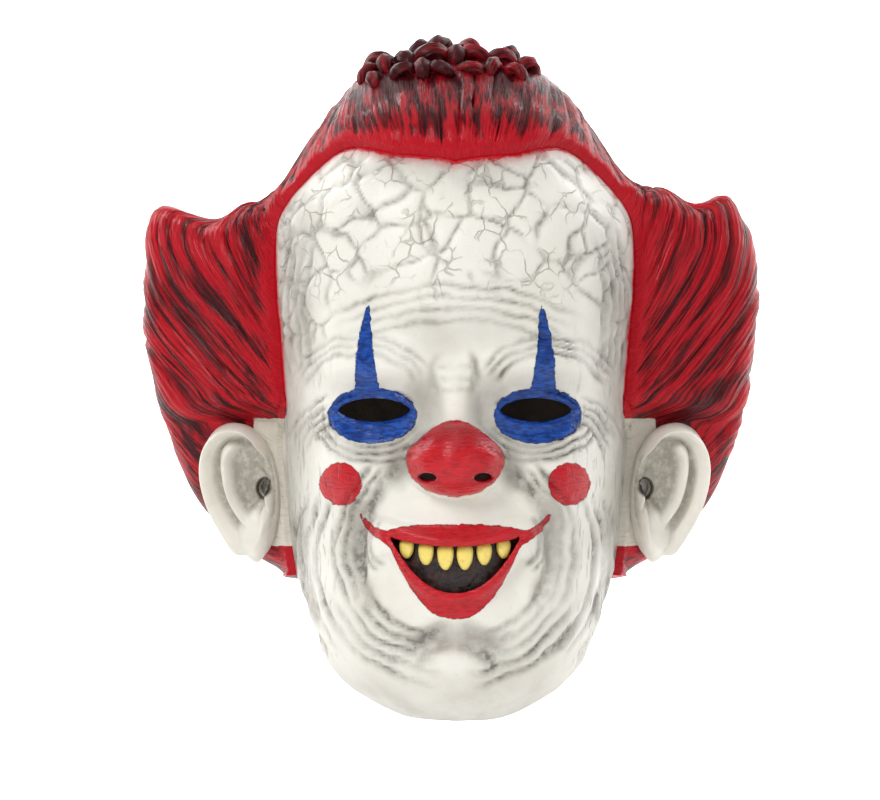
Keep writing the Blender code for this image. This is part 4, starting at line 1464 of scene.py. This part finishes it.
    def broad_painted_shade(self, x: Array, z: Array, hair: Array) -> Array:
        """Painted shade, soft and grey, beside the nose, at the temples and along the hairline."""
        across = np.abs(x)
        shades = [
            dome(across, z, (16.0, 0.0), (13.0, 20.0), 1.0) * 1.1,
            dome(across, z, (25.0, -22.0), (8.0, 16.0), 1.0),
            dome(across, z, (36.0, -17.0), (24.0, 8.0), 1.0) * 0.6,
            dome(across, z, (37.0, 12.0), (26.0, 8.0), 1.0) * 0.5,
            dome(across, z, (44.0, -52.0), (7.0, 26.0), 1.0) * 0.8,
            dome(across, z, (0.0, -101.0), (30.0, 7.0), 1.0) * 0.8,
            dome(across, z, (0.0, 36.0), (34.0, 13.0), 1.0) * 0.45,
            smooth_step((across - 56.0) / 16.0) * smooth_step((z + 40.0) / 40.0) * 0.85,
            smooth_step((across - 58.0) / 14.0) * 0.60,
            smooth_step((hair + 24.0) / 24.0) * 0.70,
            smooth_step((-108.0 - z) / 28.0) * 0.60,
        ]
        return np.clip(np.max(shades, axis=0), 0, 1)


@dataclass(frozen=True)
class HairHood:
    """The hood of moulded hair, in strands that sweep from the hairline to the back."""

    columns: int = 680
    rows: int = 70
    locks: float = 24.0
    lock_relief: float = 0.0022
    strands: float = 112.0
    strand_relief: float = 0.0008
    crest_roll: float = 0.005
    edge_mm: float = 9.0
    length: float = 0.25
    span: float = 0.33

    def lift_horns(self, points: Array, freedom: Array) -> Array:
        """Bends the tip of each flare upwards, and shapes the flares' outline.

        Args:
            points: Places on the hood.
            freedom: How freely each may move, from 0 at the hairline to 1.

        Returns:
            The moved places.
        """
        reach = HEAD.face_half_width + HEAD.hair_flare
        outer = smooth_step((np.abs(points[..., 0]) - 0.80 * reach) / (0.18 * reach))
        level = (points[..., 2] - HEAD.eyes) / (HEAD.top - HEAD.eyes)
        lifted = points.copy()
        lifted[..., 2] += HEAD.horn_lift * outer * smooth_step((level - 0.36) / 0.16)
        for bulge in BULGES:
            across = (points[..., 0] / MM - bulge.across) / bulge.half_width
            above = ((points[..., 2] - HEAD.eyes) / MM - bulge.above_eyes) / bulge.half_height
            near = np.exp(-(across**2) - above**2) * freedom
            lifted[..., 0] += bulge.push_across * MM * near
            lifted[..., 2] += bulge.push_up * MM * near
        return lifted

    def relief(self, place: Array, along: Array) -> tuple[Array, Array]:
        """Locks and strands.

        Args:
            place: The strand's own place, from -1 to 1 across the whole hood.
            along: The share of the way from the hairline to the back.

        Returns:
            The relief in metres, and how deep in a groove each place is, from 0 to 1.
        """
        lean = smooth_step((1 - along) / 0.3)
        flat = np.stack([place * 7.0, along * 2.6, 0 * place], axis=-1)
        wander = grain(flat, 1.0, 2.0) * 1.15 + grain(flat * [3.0, 2.2, 1], 1.0, 6.0) * 0.5
        lock = place * self.locks + wander * lean
        strand = place * self.strands + wander * 2.6 * lean
        ridge = np.abs(np.sin(lock * math.pi))
        fine = np.abs(np.sin(strand * math.pi))
        tall = np.stack([np.floor(lock) * 3.71, along * 3.4, 0 * along], axis=-1)
        tall = 0.62 + 0.6 * grain(tall, 1.0, 8.0)
        thin = np.stack([np.floor(strand) * 2.37, along * 5.0, 0 * along], axis=-1)
        thin = 0.75 + 0.5 * grain(thin, 1.0, 4.0)
        relief = self.lock_relief * ridge**0.65 * tall + self.strand_relief * fine**0.75 * thin
        groove = 1 - np.clip(0.62 * ridge**0.6 * np.clip(tall * 1.35, 0, 1) + 0.38 * fine**0.6, 0, 1)
        return relief, groove

    def sheets(self) -> tuple[Array, Array, Array, Array, Array]:
        """Lays out the hood.

        Returns:
            The outer points, the inner points, the groove depths, each point's place across and
            its place along.
        """
        half = self.columns // 2
        strand = read_smoothly(np.linspace(0, 1, half + 1), [0, 0.5, 1], [0, 0.40, 1])
        strand, along = np.meshgrid(strand, np.linspace(0, 1, self.rows + 1))
        along = along**1.12
        across = PATHS.sweep(strand, along)
        right = HEAD.cast_to_skin(PATHS.directions(across, along))
        right[..., 0] = np.where((along > 1 - 1e-9) | (strand > 1 - 1e-9), 0.0, right[..., 0])
        seat = self.both_sides(right, -1)
        normals = sheet_normals(seat)
        if (normals * (seat - [0, 0, HEAD.eyes])).sum() < 0:
            normals = -normals
        place = self.both_sides((1 - strand)[..., None], -1)[..., 0]
        along = self.both_sides(along[..., None], 1)[..., 0]
        across = self.both_sides(across[..., None], 1)[..., 0]
        relief, groove = self.relief(place, along)
        from_edge = along * self.length / MM
        edge = smooth_step(from_edge / self.edge_mm)
        roll = self.crest_roll * smooth_step(across * 4 - 2.6) * smooth_step(along * 6)
        relief = relief * np.clip((from_edge - 0.4) / 15, 0, 1) ** 0.7 * (1 - self.near_ear(seat))
        relief = relief * smooth_step((1 - along) / 0.07)
        proud = 0.28 * MM + (HEAD.bond_gap + HEAD.hair_wall - 0.28 * MM) * edge
        proud += relief + roll * (1 - along)
        under = 0.04 * MM + (HEAD.bond_gap - 0.04 * MM) * edge
        freedom = smooth_step(from_edge / 16)
        outer = self.lift_horns(seat + normals * proud[..., None], freedom)
        inner = self.lift_horns(seat + normals * under[..., None], freedom)
        for sheet in (outer, inner):
            sheet[-1, :, 0] = 0.0
        return outer, inner, groove, place, along

    def near_ear(self, points: Array) -> Array:
        """1 where an ear is bonded on, and 0 away from it."""
        gap = np.hypot((np.abs(points[..., 0]) - EAR.offset) / (0.95 * EAR.width),
                       (points[..., 2] - EAR.level) / (0.80 * EAR.height))
        return smooth_step((1 - gap) * 4) * (points[..., 1] < 0.045)

    def bare(self, points: Array) -> Array:
        """1 on the strip of skin between an ear and the face, and 0 away from it."""
        inside = smooth_step((EAR.offset - np.abs(points[:, 0])) / 0.002)
        below = smooth_step((HEAD.eyes - 0.003 - points[:, 2]) / 0.002)
        above = smooth_step((points[:, 2] - EAR.level + 0.46 * EAR.height) / 0.002)
        return inside * below * above * (points[:, 1] < 0.02)

    def both_sides(self, right: Array, sign: int) -> Array:
        """Mirrors a half sheet, whose last column is the middle, into a whole one."""
        left = right.copy()
        left[..., 0] *= sign
        return np.concatenate([left, right[:, -2::-1]], axis=1)

    def build(self, dress: Sequence[bpy.types.Material]) -> bpy.types.Object:
        """Makes the hood.

        Args:
            dress: The paint outside, and the inside latex, coloured dark as painted shade.

        Returns:
            The piece.
        """
        outer, inner, groove, place, along = self.sheets()
        mesh_data = sheet_mesh(outer)
        columns = mesh_data.verts.layers.int["column"]
        rows = mesh_data.verts.layers.int["row"]
        flow = mesh_data.loops.layers.uv.new("flow")
        grooves = mesh_data.verts.layers.float.new("groove")
        plains = mesh_data.verts.layers.float.new("plain")
        inners = mesh_data.verts.layers.float_vector.new("inner")
        for vertex in mesh_data.verts:
            row, column = vertex[rows], vertex[columns]
            vertex[grooves] = groove[row, column]
            vertex[plains] = 1 - smooth_step(along[row, column] * self.length / 0.024 - 0.05)
            vertex[inners] = inner[row, column]
        for face in mesh_data.faces:
            for loop in face.loops:
                row, column = loop.vert[rows], loop.vert[columns]
                loop[flow].uv = (place[row, column] * self.span, along[row, column] * self.length)
        open_hole(mesh_data, EAR.canal_reach)
        last = [vertex for vertex in mesh_data.verts if vertex[rows] == self.rows]
        inside = bmesh.ops.duplicate(mesh_data, geom=mesh_data.verts[:] + mesh_data.edges[:]
                                     + mesh_data.faces[:])["geom"]
        inner_verts = [item for item in inside if isinstance(item, bmesh.types.BMVert)]
        inner_faces = [item for item in inside if isinstance(item, bmesh.types.BMFace)]
        for vertex in inner_verts:
            vertex.co = vertex[inners]
        for face in inner_faces:
            face.material_index = 1
        bmesh.ops.reverse_faces(mesh_data, faces=inner_faces)
        inner_last = [vertex for vertex in inner_verts if vertex[rows] == self.rows]
        bmesh.ops.remove_doubles(mesh_data, verts=last, dist=1e-5)
        bmesh.ops.remove_doubles(mesh_data, verts=inner_last, dist=1e-5)
        self.join_walls(mesh_data)
        bmesh.ops.recalc_face_normals(mesh_data, faces=mesh_data.faces)
        piece = finish_mesh("moulded_hair", mesh_data, dress)
        points = mesh_points(piece.data)
        store(piece.data, "bare", self.bare(points))
        # Darker towards the top of the hood.
        store(piece.data, "top_darkening", smooth_step((points[:, 2] + 0.038) / 0.036))
        for name in ("row", "column", "inner"):
            piece.data.attributes.remove(piece.data.attributes[name])
        return piece


    def join_walls(self, mesh_data: bmesh.types.BMesh) -> None:
        """Bridges the outer wall to the inner one round each canal and round the whole edge."""
        rims = [edge for edge in mesh_data.edges if edge.is_boundary]
        middles = np.array([((edge.verts[0].co + edge.verts[1].co) / 2)[:] for edge in rims])
        near = (np.abs(EAR.canal_reach(middles)) < 0.0012) & (middles[:, 1] < 0.03)
        for side in Side:
            canal = near & (middles[:, 0] * side.value > 0)
            edges = [edge for edge, chosen in zip(rims, canal) if chosen]
            bmesh.ops.bridge_loops(mesh_data, edges=edges)
        rest = [edge for edge, chosen in zip(rims, near) if not chosen]
        bmesh.ops.bridge_loops(mesh_data, edges=rest)


@dataclass(frozen=True)
class Curls:
    """Curled, wet-looking locks that stand on the crest."""

    spokes: int = 14
    rings: int = 26

    def build(self, name: str, locks: Sequence[tuple[Lock, Vector, Vector]],
              dress: Sequence[bpy.types.Material]) -> bpy.types.Object:
        """Makes one piece of several curls.

        Args:
            name: The piece's name.
            locks: Each curl's sizes, root and outward direction.
            dress: Its paint.

        Returns:
            The piece.
        """
        mesh_data = bmesh.new()
        grooves = mesh_data.verts.layers.float.new("groove")
        for unused in ("plain", "bare"):
            mesh_data.verts.layers.float.new(unused)
        top_darkening = mesh_data.verts.layers.float.new("top_darkening")
        flow = mesh_data.loops.layers.uv.new("flow")
        for lock, root, outward in locks:
            made = bmesh.ops.create_uvsphere(mesh_data, u_segments=self.spokes,
                                             v_segments=self.rings, radius=1.0)["verts"]
            ball = np.array([vertex.co[:] for vertex in made])
            share = (1 - ball[:, 2]) / 2
            turn = np.arctan2(ball[:, 1], ball[:, 0])
            points, ridges = self.curl(lock, root, outward, share, turn)
            for vertex, point, ridge in zip(made, points, ridges):
                vertex.co = point
                vertex[grooves] = ridge
                vertex[top_darkening] = 0.9
            uv = {vertex: (lock.across_mm * MM + angle * 0.003, at * lock.length_mm * MM)
                  for vertex, angle, at in zip(made, turn, share)}
            for face in {face for vertex in made for face in vertex.link_faces}:
                for loop in face.loops:
                    loop[flow].uv = uv[loop.vert]
        bmesh.ops.recalc_face_normals(mesh_data, faces=mesh_data.faces)
        return finish_mesh(name, mesh_data, dress)

    def curl(self, lock: Lock, root: Vector, outward: Vector, share: Array,
             turn: Array) -> tuple[Array, Array]:
        """One curl: a tapered tube whose middle line bends over.

        Args:
            lock: Its sizes.
            root: Where it starts, in metres.
            outward: The direction that it starts in.
            share: The share of its length at each vertex.
            turn: The angle round it at each vertex.

        Returns:
            Its points, and how deep in a groove each lies.
        """
        steps = np.linspace(0, 1, 60)
        bend = np.radians(lock.lean + lock.curl * steps**1.2)
        turned = math.radians(lock.sweep)
        back = Vector((math.sin(turned), math.cos(turned), 0))
        wide = np.array(outward.cross(back).normalized())
        out = np.array(outward)
        over = np.cross(wide, out)
        heading = np.cos(bend)[:, None] * over + np.sin(bend)[:, None] * out
        step = lock.length_mm * MM / (len(steps) - 1)
        path = np.array(root) - out * 0.002 + np.cumsum(heading, axis=0) * step
        path += wide * (np.sin(steps * 4.0 + lock.sweep)[:, None] * 0.0022)
        at = np.stack([np.interp(share, steps, path[:, k]) for k in range(3)], axis=-1)
        way = unit(np.stack([np.interp(share, steps, heading[:, k]) for k in range(3)], axis=-1))
        normal = np.cross(way, wide)
        blunt = np.clip(1 - (2 * share - 1) ** 4, 0, 1) ** 0.5
        thick = lock.radius_mm * MM * blunt * (1.45 - 0.75 * share)
        strand = np.abs(np.sin(turn * 2.5 + share * 4.0))
        round_it = thick * (0.80 + 0.24 * strand)
        points = at + normal * (round_it * np.sin(turn))[:, None]
        points = points + wide * (1.1 * round_it * np.cos(turn))[:, None]
        return points, 1 - strand**0.6


@dataclass(frozen=True)
class Ear:
    """One ear, bonded to the cheek and the hair behind it."""

    offset: float = 0.0925
    below_eyes: float = 0.035
    height: float = 0.061
    width: float = 0.036
    root: float = 0.0785
    root_blend: float = 0.004
    relief: float = 0.0115
    tilt: float = 16.0
    canal_radius: float = 0.0042
    spokes: int = 96
    rings: int = 80

    @property
    def level(self) -> float:
        """Level of the ear's middle."""
        return HEAD.eyes - self.below_eyes

    def seat(self, x: Array, z: Array) -> tuple[Array, Array]:
        """Points and outward normals under the ear, seen from the front."""
        inner = np.minimum(x - self.root - self.root_blend, 0.0)
        azimuth = HEAD.azimuth_at(x - inner, z)
        sideways = HEAD.skin(azimuth + 0.05, z) - HEAD.skin(azimuth - 0.05, z)
        upwards = HEAD.skin(azimuth, z + 1e-4) - HEAD.skin(azimuth, z - 1e-4)
        on_line = HEAD.skin(azimuth, z) + sideways / sideways[:, :1] * inner[:, None]
        return on_line, unit(np.cross(sideways, upwards))

    def places(self, ring: Array, turn: Array) -> tuple[Array, Array]:
        """Places seen from the front: rings close in on the canal, near the head."""
        out, up = np.cos(turn), np.sin(turn)
        half = self.width / 2 * (0.80 + 0.20 * up - 0.12 * up**2 * (up < 0))
        out, up = half * out, self.height / 2 * up
        canal_out, canal_up = -0.22 * self.width, -0.05 * self.height
        out, up = canal_out + (out - canal_out) * ring, canal_up + (up - canal_up) * ring
        tilt = math.radians(self.tilt)
        x = self.offset + out * math.cos(tilt) + up * math.sin(tilt)
        return x, self.level + up * math.cos(tilt) - out * math.sin(tilt)

    def form(self, ring: Array, turn: Array) -> Array:
        """Relief from 0 to 1: helix, groove, inner ridge, bowl, front flap and lobe."""
        degrees = np.degrees(turn)
        outer = smooth_step((np.cos(turn) + 0.55) / 0.5)
        top = smooth_step((np.sin(turn) - 0.25) / 0.4)
        helix_on = np.maximum(outer * smooth_step((degrees + 88) / 40), top)
        helix = np.exp(-(((ring - 0.90) / 0.085) ** 2)) * helix_on
        inner_on = smooth_step((degrees + 82) / 30) * smooth_step((100 - degrees) / 40)
        fork = 0.58 + 0.10 * smooth_step((degrees - 20) / 60)
        inner_ridge = 0.70 * np.exp(-(((ring - fork) / 0.085) ** 2)) * inner_on
        flap_turn = np.exp(-((((degrees + 180 + 360) % 360 - 15) / 26) ** 2))
        flap = 0.62 * np.exp(-(((ring - 0.55) / 0.26) ** 2)) * flap_turn
        lobe = smooth_step(-np.sin(turn) * 2.2 - 0.9) * read_smoothly(
            ring, [0, 0.35, 0.75, 1.0], [0.0, 0.45, 0.66, 0.25])
        base = read_smoothly(ring, [0, 0.30, 0.48, 0.75, 1.0], [0.10, 0.14, 0.30, 0.32, 0.22])
        cheek = smooth_step(-np.cos(turn) * 1.5 - 0.2) * 0.10
        ridges = np.maximum(np.maximum(helix, inner_ridge), np.maximum(flap, lobe))
        return base + cheek * ring + ridges * 0.85

    def build(self, side: Side, dress: Sequence[bpy.types.Material]) -> bpy.types.Object:
        """Makes one ear.

        Args:
            side: Which ear.
            dress: Its paint.

        Returns:
            The piece.
        """
        mesh_data = bmesh.new()
        bmesh.ops.create_uvsphere(mesh_data, u_segments=self.spokes, v_segments=self.rings,
                                  radius=1.0)
        ball = coordinates(mesh_data)
        ring = np.arccos(np.clip(np.abs(ball[:, 2]), 0, 1)) / (math.pi / 2)
        turn = np.arctan2(ball[:, 1], ball[:, 0])
        x, z = self.places(ring, turn)
        points, normals = self.seat(x, z)
        front = ball[:, 2] > -1e-6
        form = self.form(ring, turn)
        proud = 2 * HEAD.bond_gap + HEAD.hair_wall + np.where(front, self.relief * form, 0.0)
        points = points + normals * proud[:, None]
        points[:, 0] = np.maximum(points[:, 0], self.root)
        away = self.canal_radius - self.canal_reach(points)
        hollow = smooth_step((0.72 - form) / 0.40) * smooth_step((1.0 - ring) / 0.12 + 0.3)
        layers = {
            "hollow_wash": np.where(front, hollow, 0.3),
            # Painted shade round the canal.
            "canal_painted_shade": 1 - smooth_step((away - self.canal_radius) / 0.0022),
        }
        for name, values in layers.items():
            layer = mesh_data.verts.layers.float.new(name)
            for vertex, value in zip(mesh_data.verts, values):
                vertex[layer] = value
        for vertex, point in zip(mesh_data.verts, points):
            vertex.co = point
        open_hole(mesh_data, self.canal_reach)
        bmesh.ops.bridge_loops(mesh_data, edges=[e for e in mesh_data.edges if e.is_boundary])
        bmesh.ops.scale(mesh_data, verts=mesh_data.verts, vec=(side.value, 1, 1))
        bmesh.ops.recalc_face_normals(mesh_data, faces=mesh_data.faces)
        return finish_mesh(f"ear_casting_{side.name.lower()}", mesh_data, dress)

    def canal(self) -> tuple[Array, Array]:
        """A point of the canal's axis, and the axis."""
        x, z = self.places(np.zeros(1), np.zeros(1))
        points, normals = self.seat(x, z)
        flat = normals[0] * [1, 1, 0]
        return points[0], unit(flat)

    def canal_reach(self, places: Array) -> Array:
        """How far inside the canal places are; both ears are read as the right one."""
        centre, axis = self.canal()
        from_centre = np.abs(places) * [1, 0, 0] + places * [0, 1, 1] - centre
        reach = self.canal_radius - np.linalg.norm(np.cross(from_centre, axis), axis=1)
        return np.where(np.abs(from_centre.dot(axis)) < self.width, reach, -self.width)


EAR = Ear()


@dataclass(frozen=True)
class Teeth:
    """Six rounded teeth in an arch on the mouth's lining."""

    count: int = 6
    pitch: float = 0.0088
    width: float = 0.0085
    thickness: float = 0.0052
    length: float = 0.0102
    spokes: int = 28
    rings: int = 22

    def frame_at(self, face: FaceCasting, x: float, z: float) -> tuple[Array, Array]:
        """A point of the lipless face and its outward normal, seen from the front."""
        spot, level = np.array([abs(x)]), np.array([z])
        azimuth = HEAD.azimuth_at(spot, level, flared=False)

        def skin(turn: Array, height: Array) -> Array:
            """A place of the face without its lips."""
            points = face.skin(turn, height)
            points[..., 1] += face.mouth.push(points[..., 0], height)
            return points

        sideways = skin(azimuth + 0.05, level) - skin(azimuth - 0.05, level)
        upwards = skin(azimuth, level + 1e-4) - skin(azimuth, level - 1e-4)
        mirror = np.array([math.copysign(1, x), 1, 1])
        return skin(azimuth, level)[0] * mirror, unit(np.cross(sideways, upwards))[0] * mirror

    def build(self, index: int, face: FaceCasting,
              dress: Sequence[bpy.types.Material]) -> bpy.types.Object:
        """Makes one tooth.

        Args:
            index: Its place, from 0 at the viewer's left.
            face: The face that it stands in.
            dress: Its paint.

        Returns:
            The piece.
        """
        place = index - (self.count - 1) / 2
        x = place * self.pitch
        length = self.length * (1.22 - 0.14 * abs(place))
        top = float(face.mouth.top(np.array(x))) + 0.0012
        point, normal = self.frame_at(face, x, top - length / 2)
        mesh_data = bmesh.new()
        bmesh.ops.create_uvsphere(mesh_data, u_segments=self.spokes, v_segments=self.rings,
                                  radius=1.0)
        root = mesh_data.verts.layers.float.new("root")
        for vertex in mesh_data.verts:
            vertex[root] = vertex.co.z * 0.5 + 0.5
            vertex.co = self.shaped(vertex.co, length, 1 - 0.05 * abs(place))
        turn = math.atan2(normal[0], -normal[1])
        matrix = Matrix.Translation(Vector(point - normal * (HEAD.face_wall - 0.0008)))
        matrix = matrix @ Matrix.Rotation(turn, 4, "Z") @ Matrix.Rotation(-math.asin(normal[2]), 4, "X")
        bmesh.ops.transform(mesh_data, matrix=matrix, verts=mesh_data.verts)
        return finish_mesh(f"tooth_{index + 1}_enamel", mesh_data, dress)

    def shaped(self, ball: Vector, length: float, size: float) -> Vector:
        """Turns a place on a ball into one on a tooth: square at the gum, narrow at the tip."""
        def swell(value: float, power: float) -> float:
            """Squares a rounded coordinate off."""
            return math.copysign(abs(value) ** power, value)

        down = (1 - ball.z) / 2
        narrow = 1 - 0.46 * down**1.7
        return Vector((
            swell(ball.x, 0.72) * self.width / 2 * narrow * size,
            swell(ball.y, 0.85) * self.thickness / 2 * (1 - 0.25 * down),
            swell(ball.z, 0.80) * length / 2,
        ))


@dataclass(frozen=True)
class Studio:
    """Pale paper, soft lights and the camera."""

    floor: float = -0.36
    eye_plane: float = -0.090
    view_width: float = 0.391
    distance: float = 3.0
    centre: tuple[float, float] = (-0.0067, -0.1511)
    sensor: float = 36.0

    def build(self, dress: bpy.types.Material) -> None:
        """Puts up the paper, the lights and the camera."""
        self.paper(dress)
        self.light("key", (-0.75, -1.5, 0.95), 0.7, 19.0)
        self.light("fill", (1.15, -1.5, 0.05), 1.3, 5.0)
        self.light("top", (0.0, -0.5, 1.4), 0.9, 4.0)
        self.light("edge_left", (-1.2, 0.7, 0.3), 0.6, 4.0)
        self.light("edge_right", (1.2, 0.7, 0.3), 0.6, 4.0)
        self.light("paper_left", (-3.5, 2.5, 4.0), 3.0, 900.0, (-1.5, 8.5, 0.6))
        self.light("paper_right", (3.5, 2.5, 4.0), 3.0, 900.0, (1.5, 8.5, 0.6))
        world = bpy.data.worlds.new("studio")
        bpy.context.scene.world = world
        world.use_nodes = True
        background = world.node_tree.nodes["Background"]
        background.inputs["Color"].default_value = (1.0, 1.0, 1.0, 1.0)
        background.inputs["Strength"].default_value = 0.26
        data = bpy.data.cameras.new("camera")
        data.sensor_width = self.sensor
        data.lens = self.sensor * self.distance / self.view_width
        camera = bpy.data.objects.new("camera", data)
        camera.location = (self.centre[0], self.eye_plane - self.distance, self.centre[1])
        camera.rotation_euler = (math.pi / 2, 0, 0)
        bpy.context.scene.collection.objects.link(camera)
        bpy.context.scene.camera = camera
        bpy.context.scene.view_settings.view_transform = "Standard"

    def paper(self, dress: bpy.types.Material) -> None:
        """A sheet of paper that runs along the floor and bends up behind the mask."""
        run = np.linspace(0, 1, 61)
        flat, bend, wall = 13.0, 2.5, 8.0
        turn = np.clip((run * (flat + bend * math.pi / 2 + wall) - flat) / bend, 0, math.pi / 2)
        total = flat + bend * math.pi / 2 + wall
        ahead = np.minimum(run * total, flat) + bend * np.sin(turn)
        up = bend * (1 - np.cos(turn)) + np.maximum(run * total - flat - bend * math.pi / 2, 0)
        across = np.linspace(-11, 11, 3)
        points = np.stack(np.broadcast_arrays(across[None, :], (ahead - 7.0)[:, None],
                                              (up + self.floor)[:, None]), axis=-1)
        mesh_data = sheet_mesh(points)
        bmesh.ops.recalc_face_normals(mesh_data, faces=mesh_data.faces)
        finish_mesh("studio_paper", mesh_data, [dress])

    def light(self, name: str, place: tuple[float, float, float], size: float, power: float,
              target: tuple[float, float, float] = (0.0, 0.0, -0.15)) -> None:
        """Adds a soft square light.

        Args:
            name: Its name.
            place: Where it stands.
            size: The length of its side.
            power: Its power in watts.
            target: Where it looks.
        """
        data = bpy.data.lights.new(name, "AREA")
        data.size = size
        data.energy = power
        light = bpy.data.objects.new(name, data)
        light.location = place
        aim = Vector(target) - Vector(place)
        light.rotation_euler = aim.to_track_quat("-Z", "Y").to_euler()
        bpy.context.scene.collection.objects.link(light)


def crest_roots() -> list[tuple[Lock, Vector, Vector]]:
    """Where each curl of the crest stands on the head, and the way out of the head there."""
    rooted = []
    for lock in CREST_LOCKS:
        x, y = lock.across_mm * MM, lock.behind_mm * MM
        azimuth = np.array(math.degrees(math.atan2(abs(x), -y)))
        low, high = HEAD.eyes, HEAD.top - 1e-5
        for _ in range(30):
            middle = (low + high) / 2
            inside = math.hypot(x, y) < float(HEAD.skin_radius(azimuth, np.array(middle)))
            low, high = (middle, high) if inside else (low, middle)
        root = Vector((x, y, low))
        outward = Vector((x * 1.2, y * 1.2, low - HEAD.eyes - 0.075)).normalized()
        rooted.append((lock, root + outward * 0.5 * HairHood().crest_roll, outward))
    return rooted


def settle(piece: bpy.types.Object, slot: Slot, *nodes: str) -> None:
    """Rides a piece on the root body and hides the nodes that it stands for."""
    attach(piece, "root")
    if nodes:
        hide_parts(*nodes)
    report(piece)


def main() -> None:
    """Builds and dresses each sub-assembly in turn."""
    logging.basicConfig(level=logging.INFO, format="%(name)s: %(message)s")
    # The inside latex is coloured dark as painted shade, so that the holes look into darkness.
    inner_shade = InnerShadeLatex().build()
    hair_paint = HairPaint().build()
    face = FaceCasting()
    settle(face.build([FacePaint().build(), inner_shade]), Slot.FACE, "face_skin")
    settle(HairHood().build([hair_paint, inner_shade]), Slot.HAIR, "hair_shell")
    settle(Curls().build("crest_curls", crest_roots(), [hair_paint]), Slot.HAIR)
    ear_paint = EarPaint().build()
    for side in Side:
        settle(EAR.build(side, [ear_paint]), Slot.FACE, f"ear_{side.name.lower()}")
    tooth_paint = ToothPaint().build()
    teeth = Teeth()
    for index in range(teeth.count):
        settle(teeth.build(index, face, [tooth_paint]), Slot.TOOTH, f"tooth_{index + 1}")
    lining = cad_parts["mouth_lining"]
    lining.data.materials.clear()
    lining.data.materials.append(LiningPaint().build())
    report(lining)
    Studio().build(StudioPaper().build())


if __name__ == "__main__":
    main()
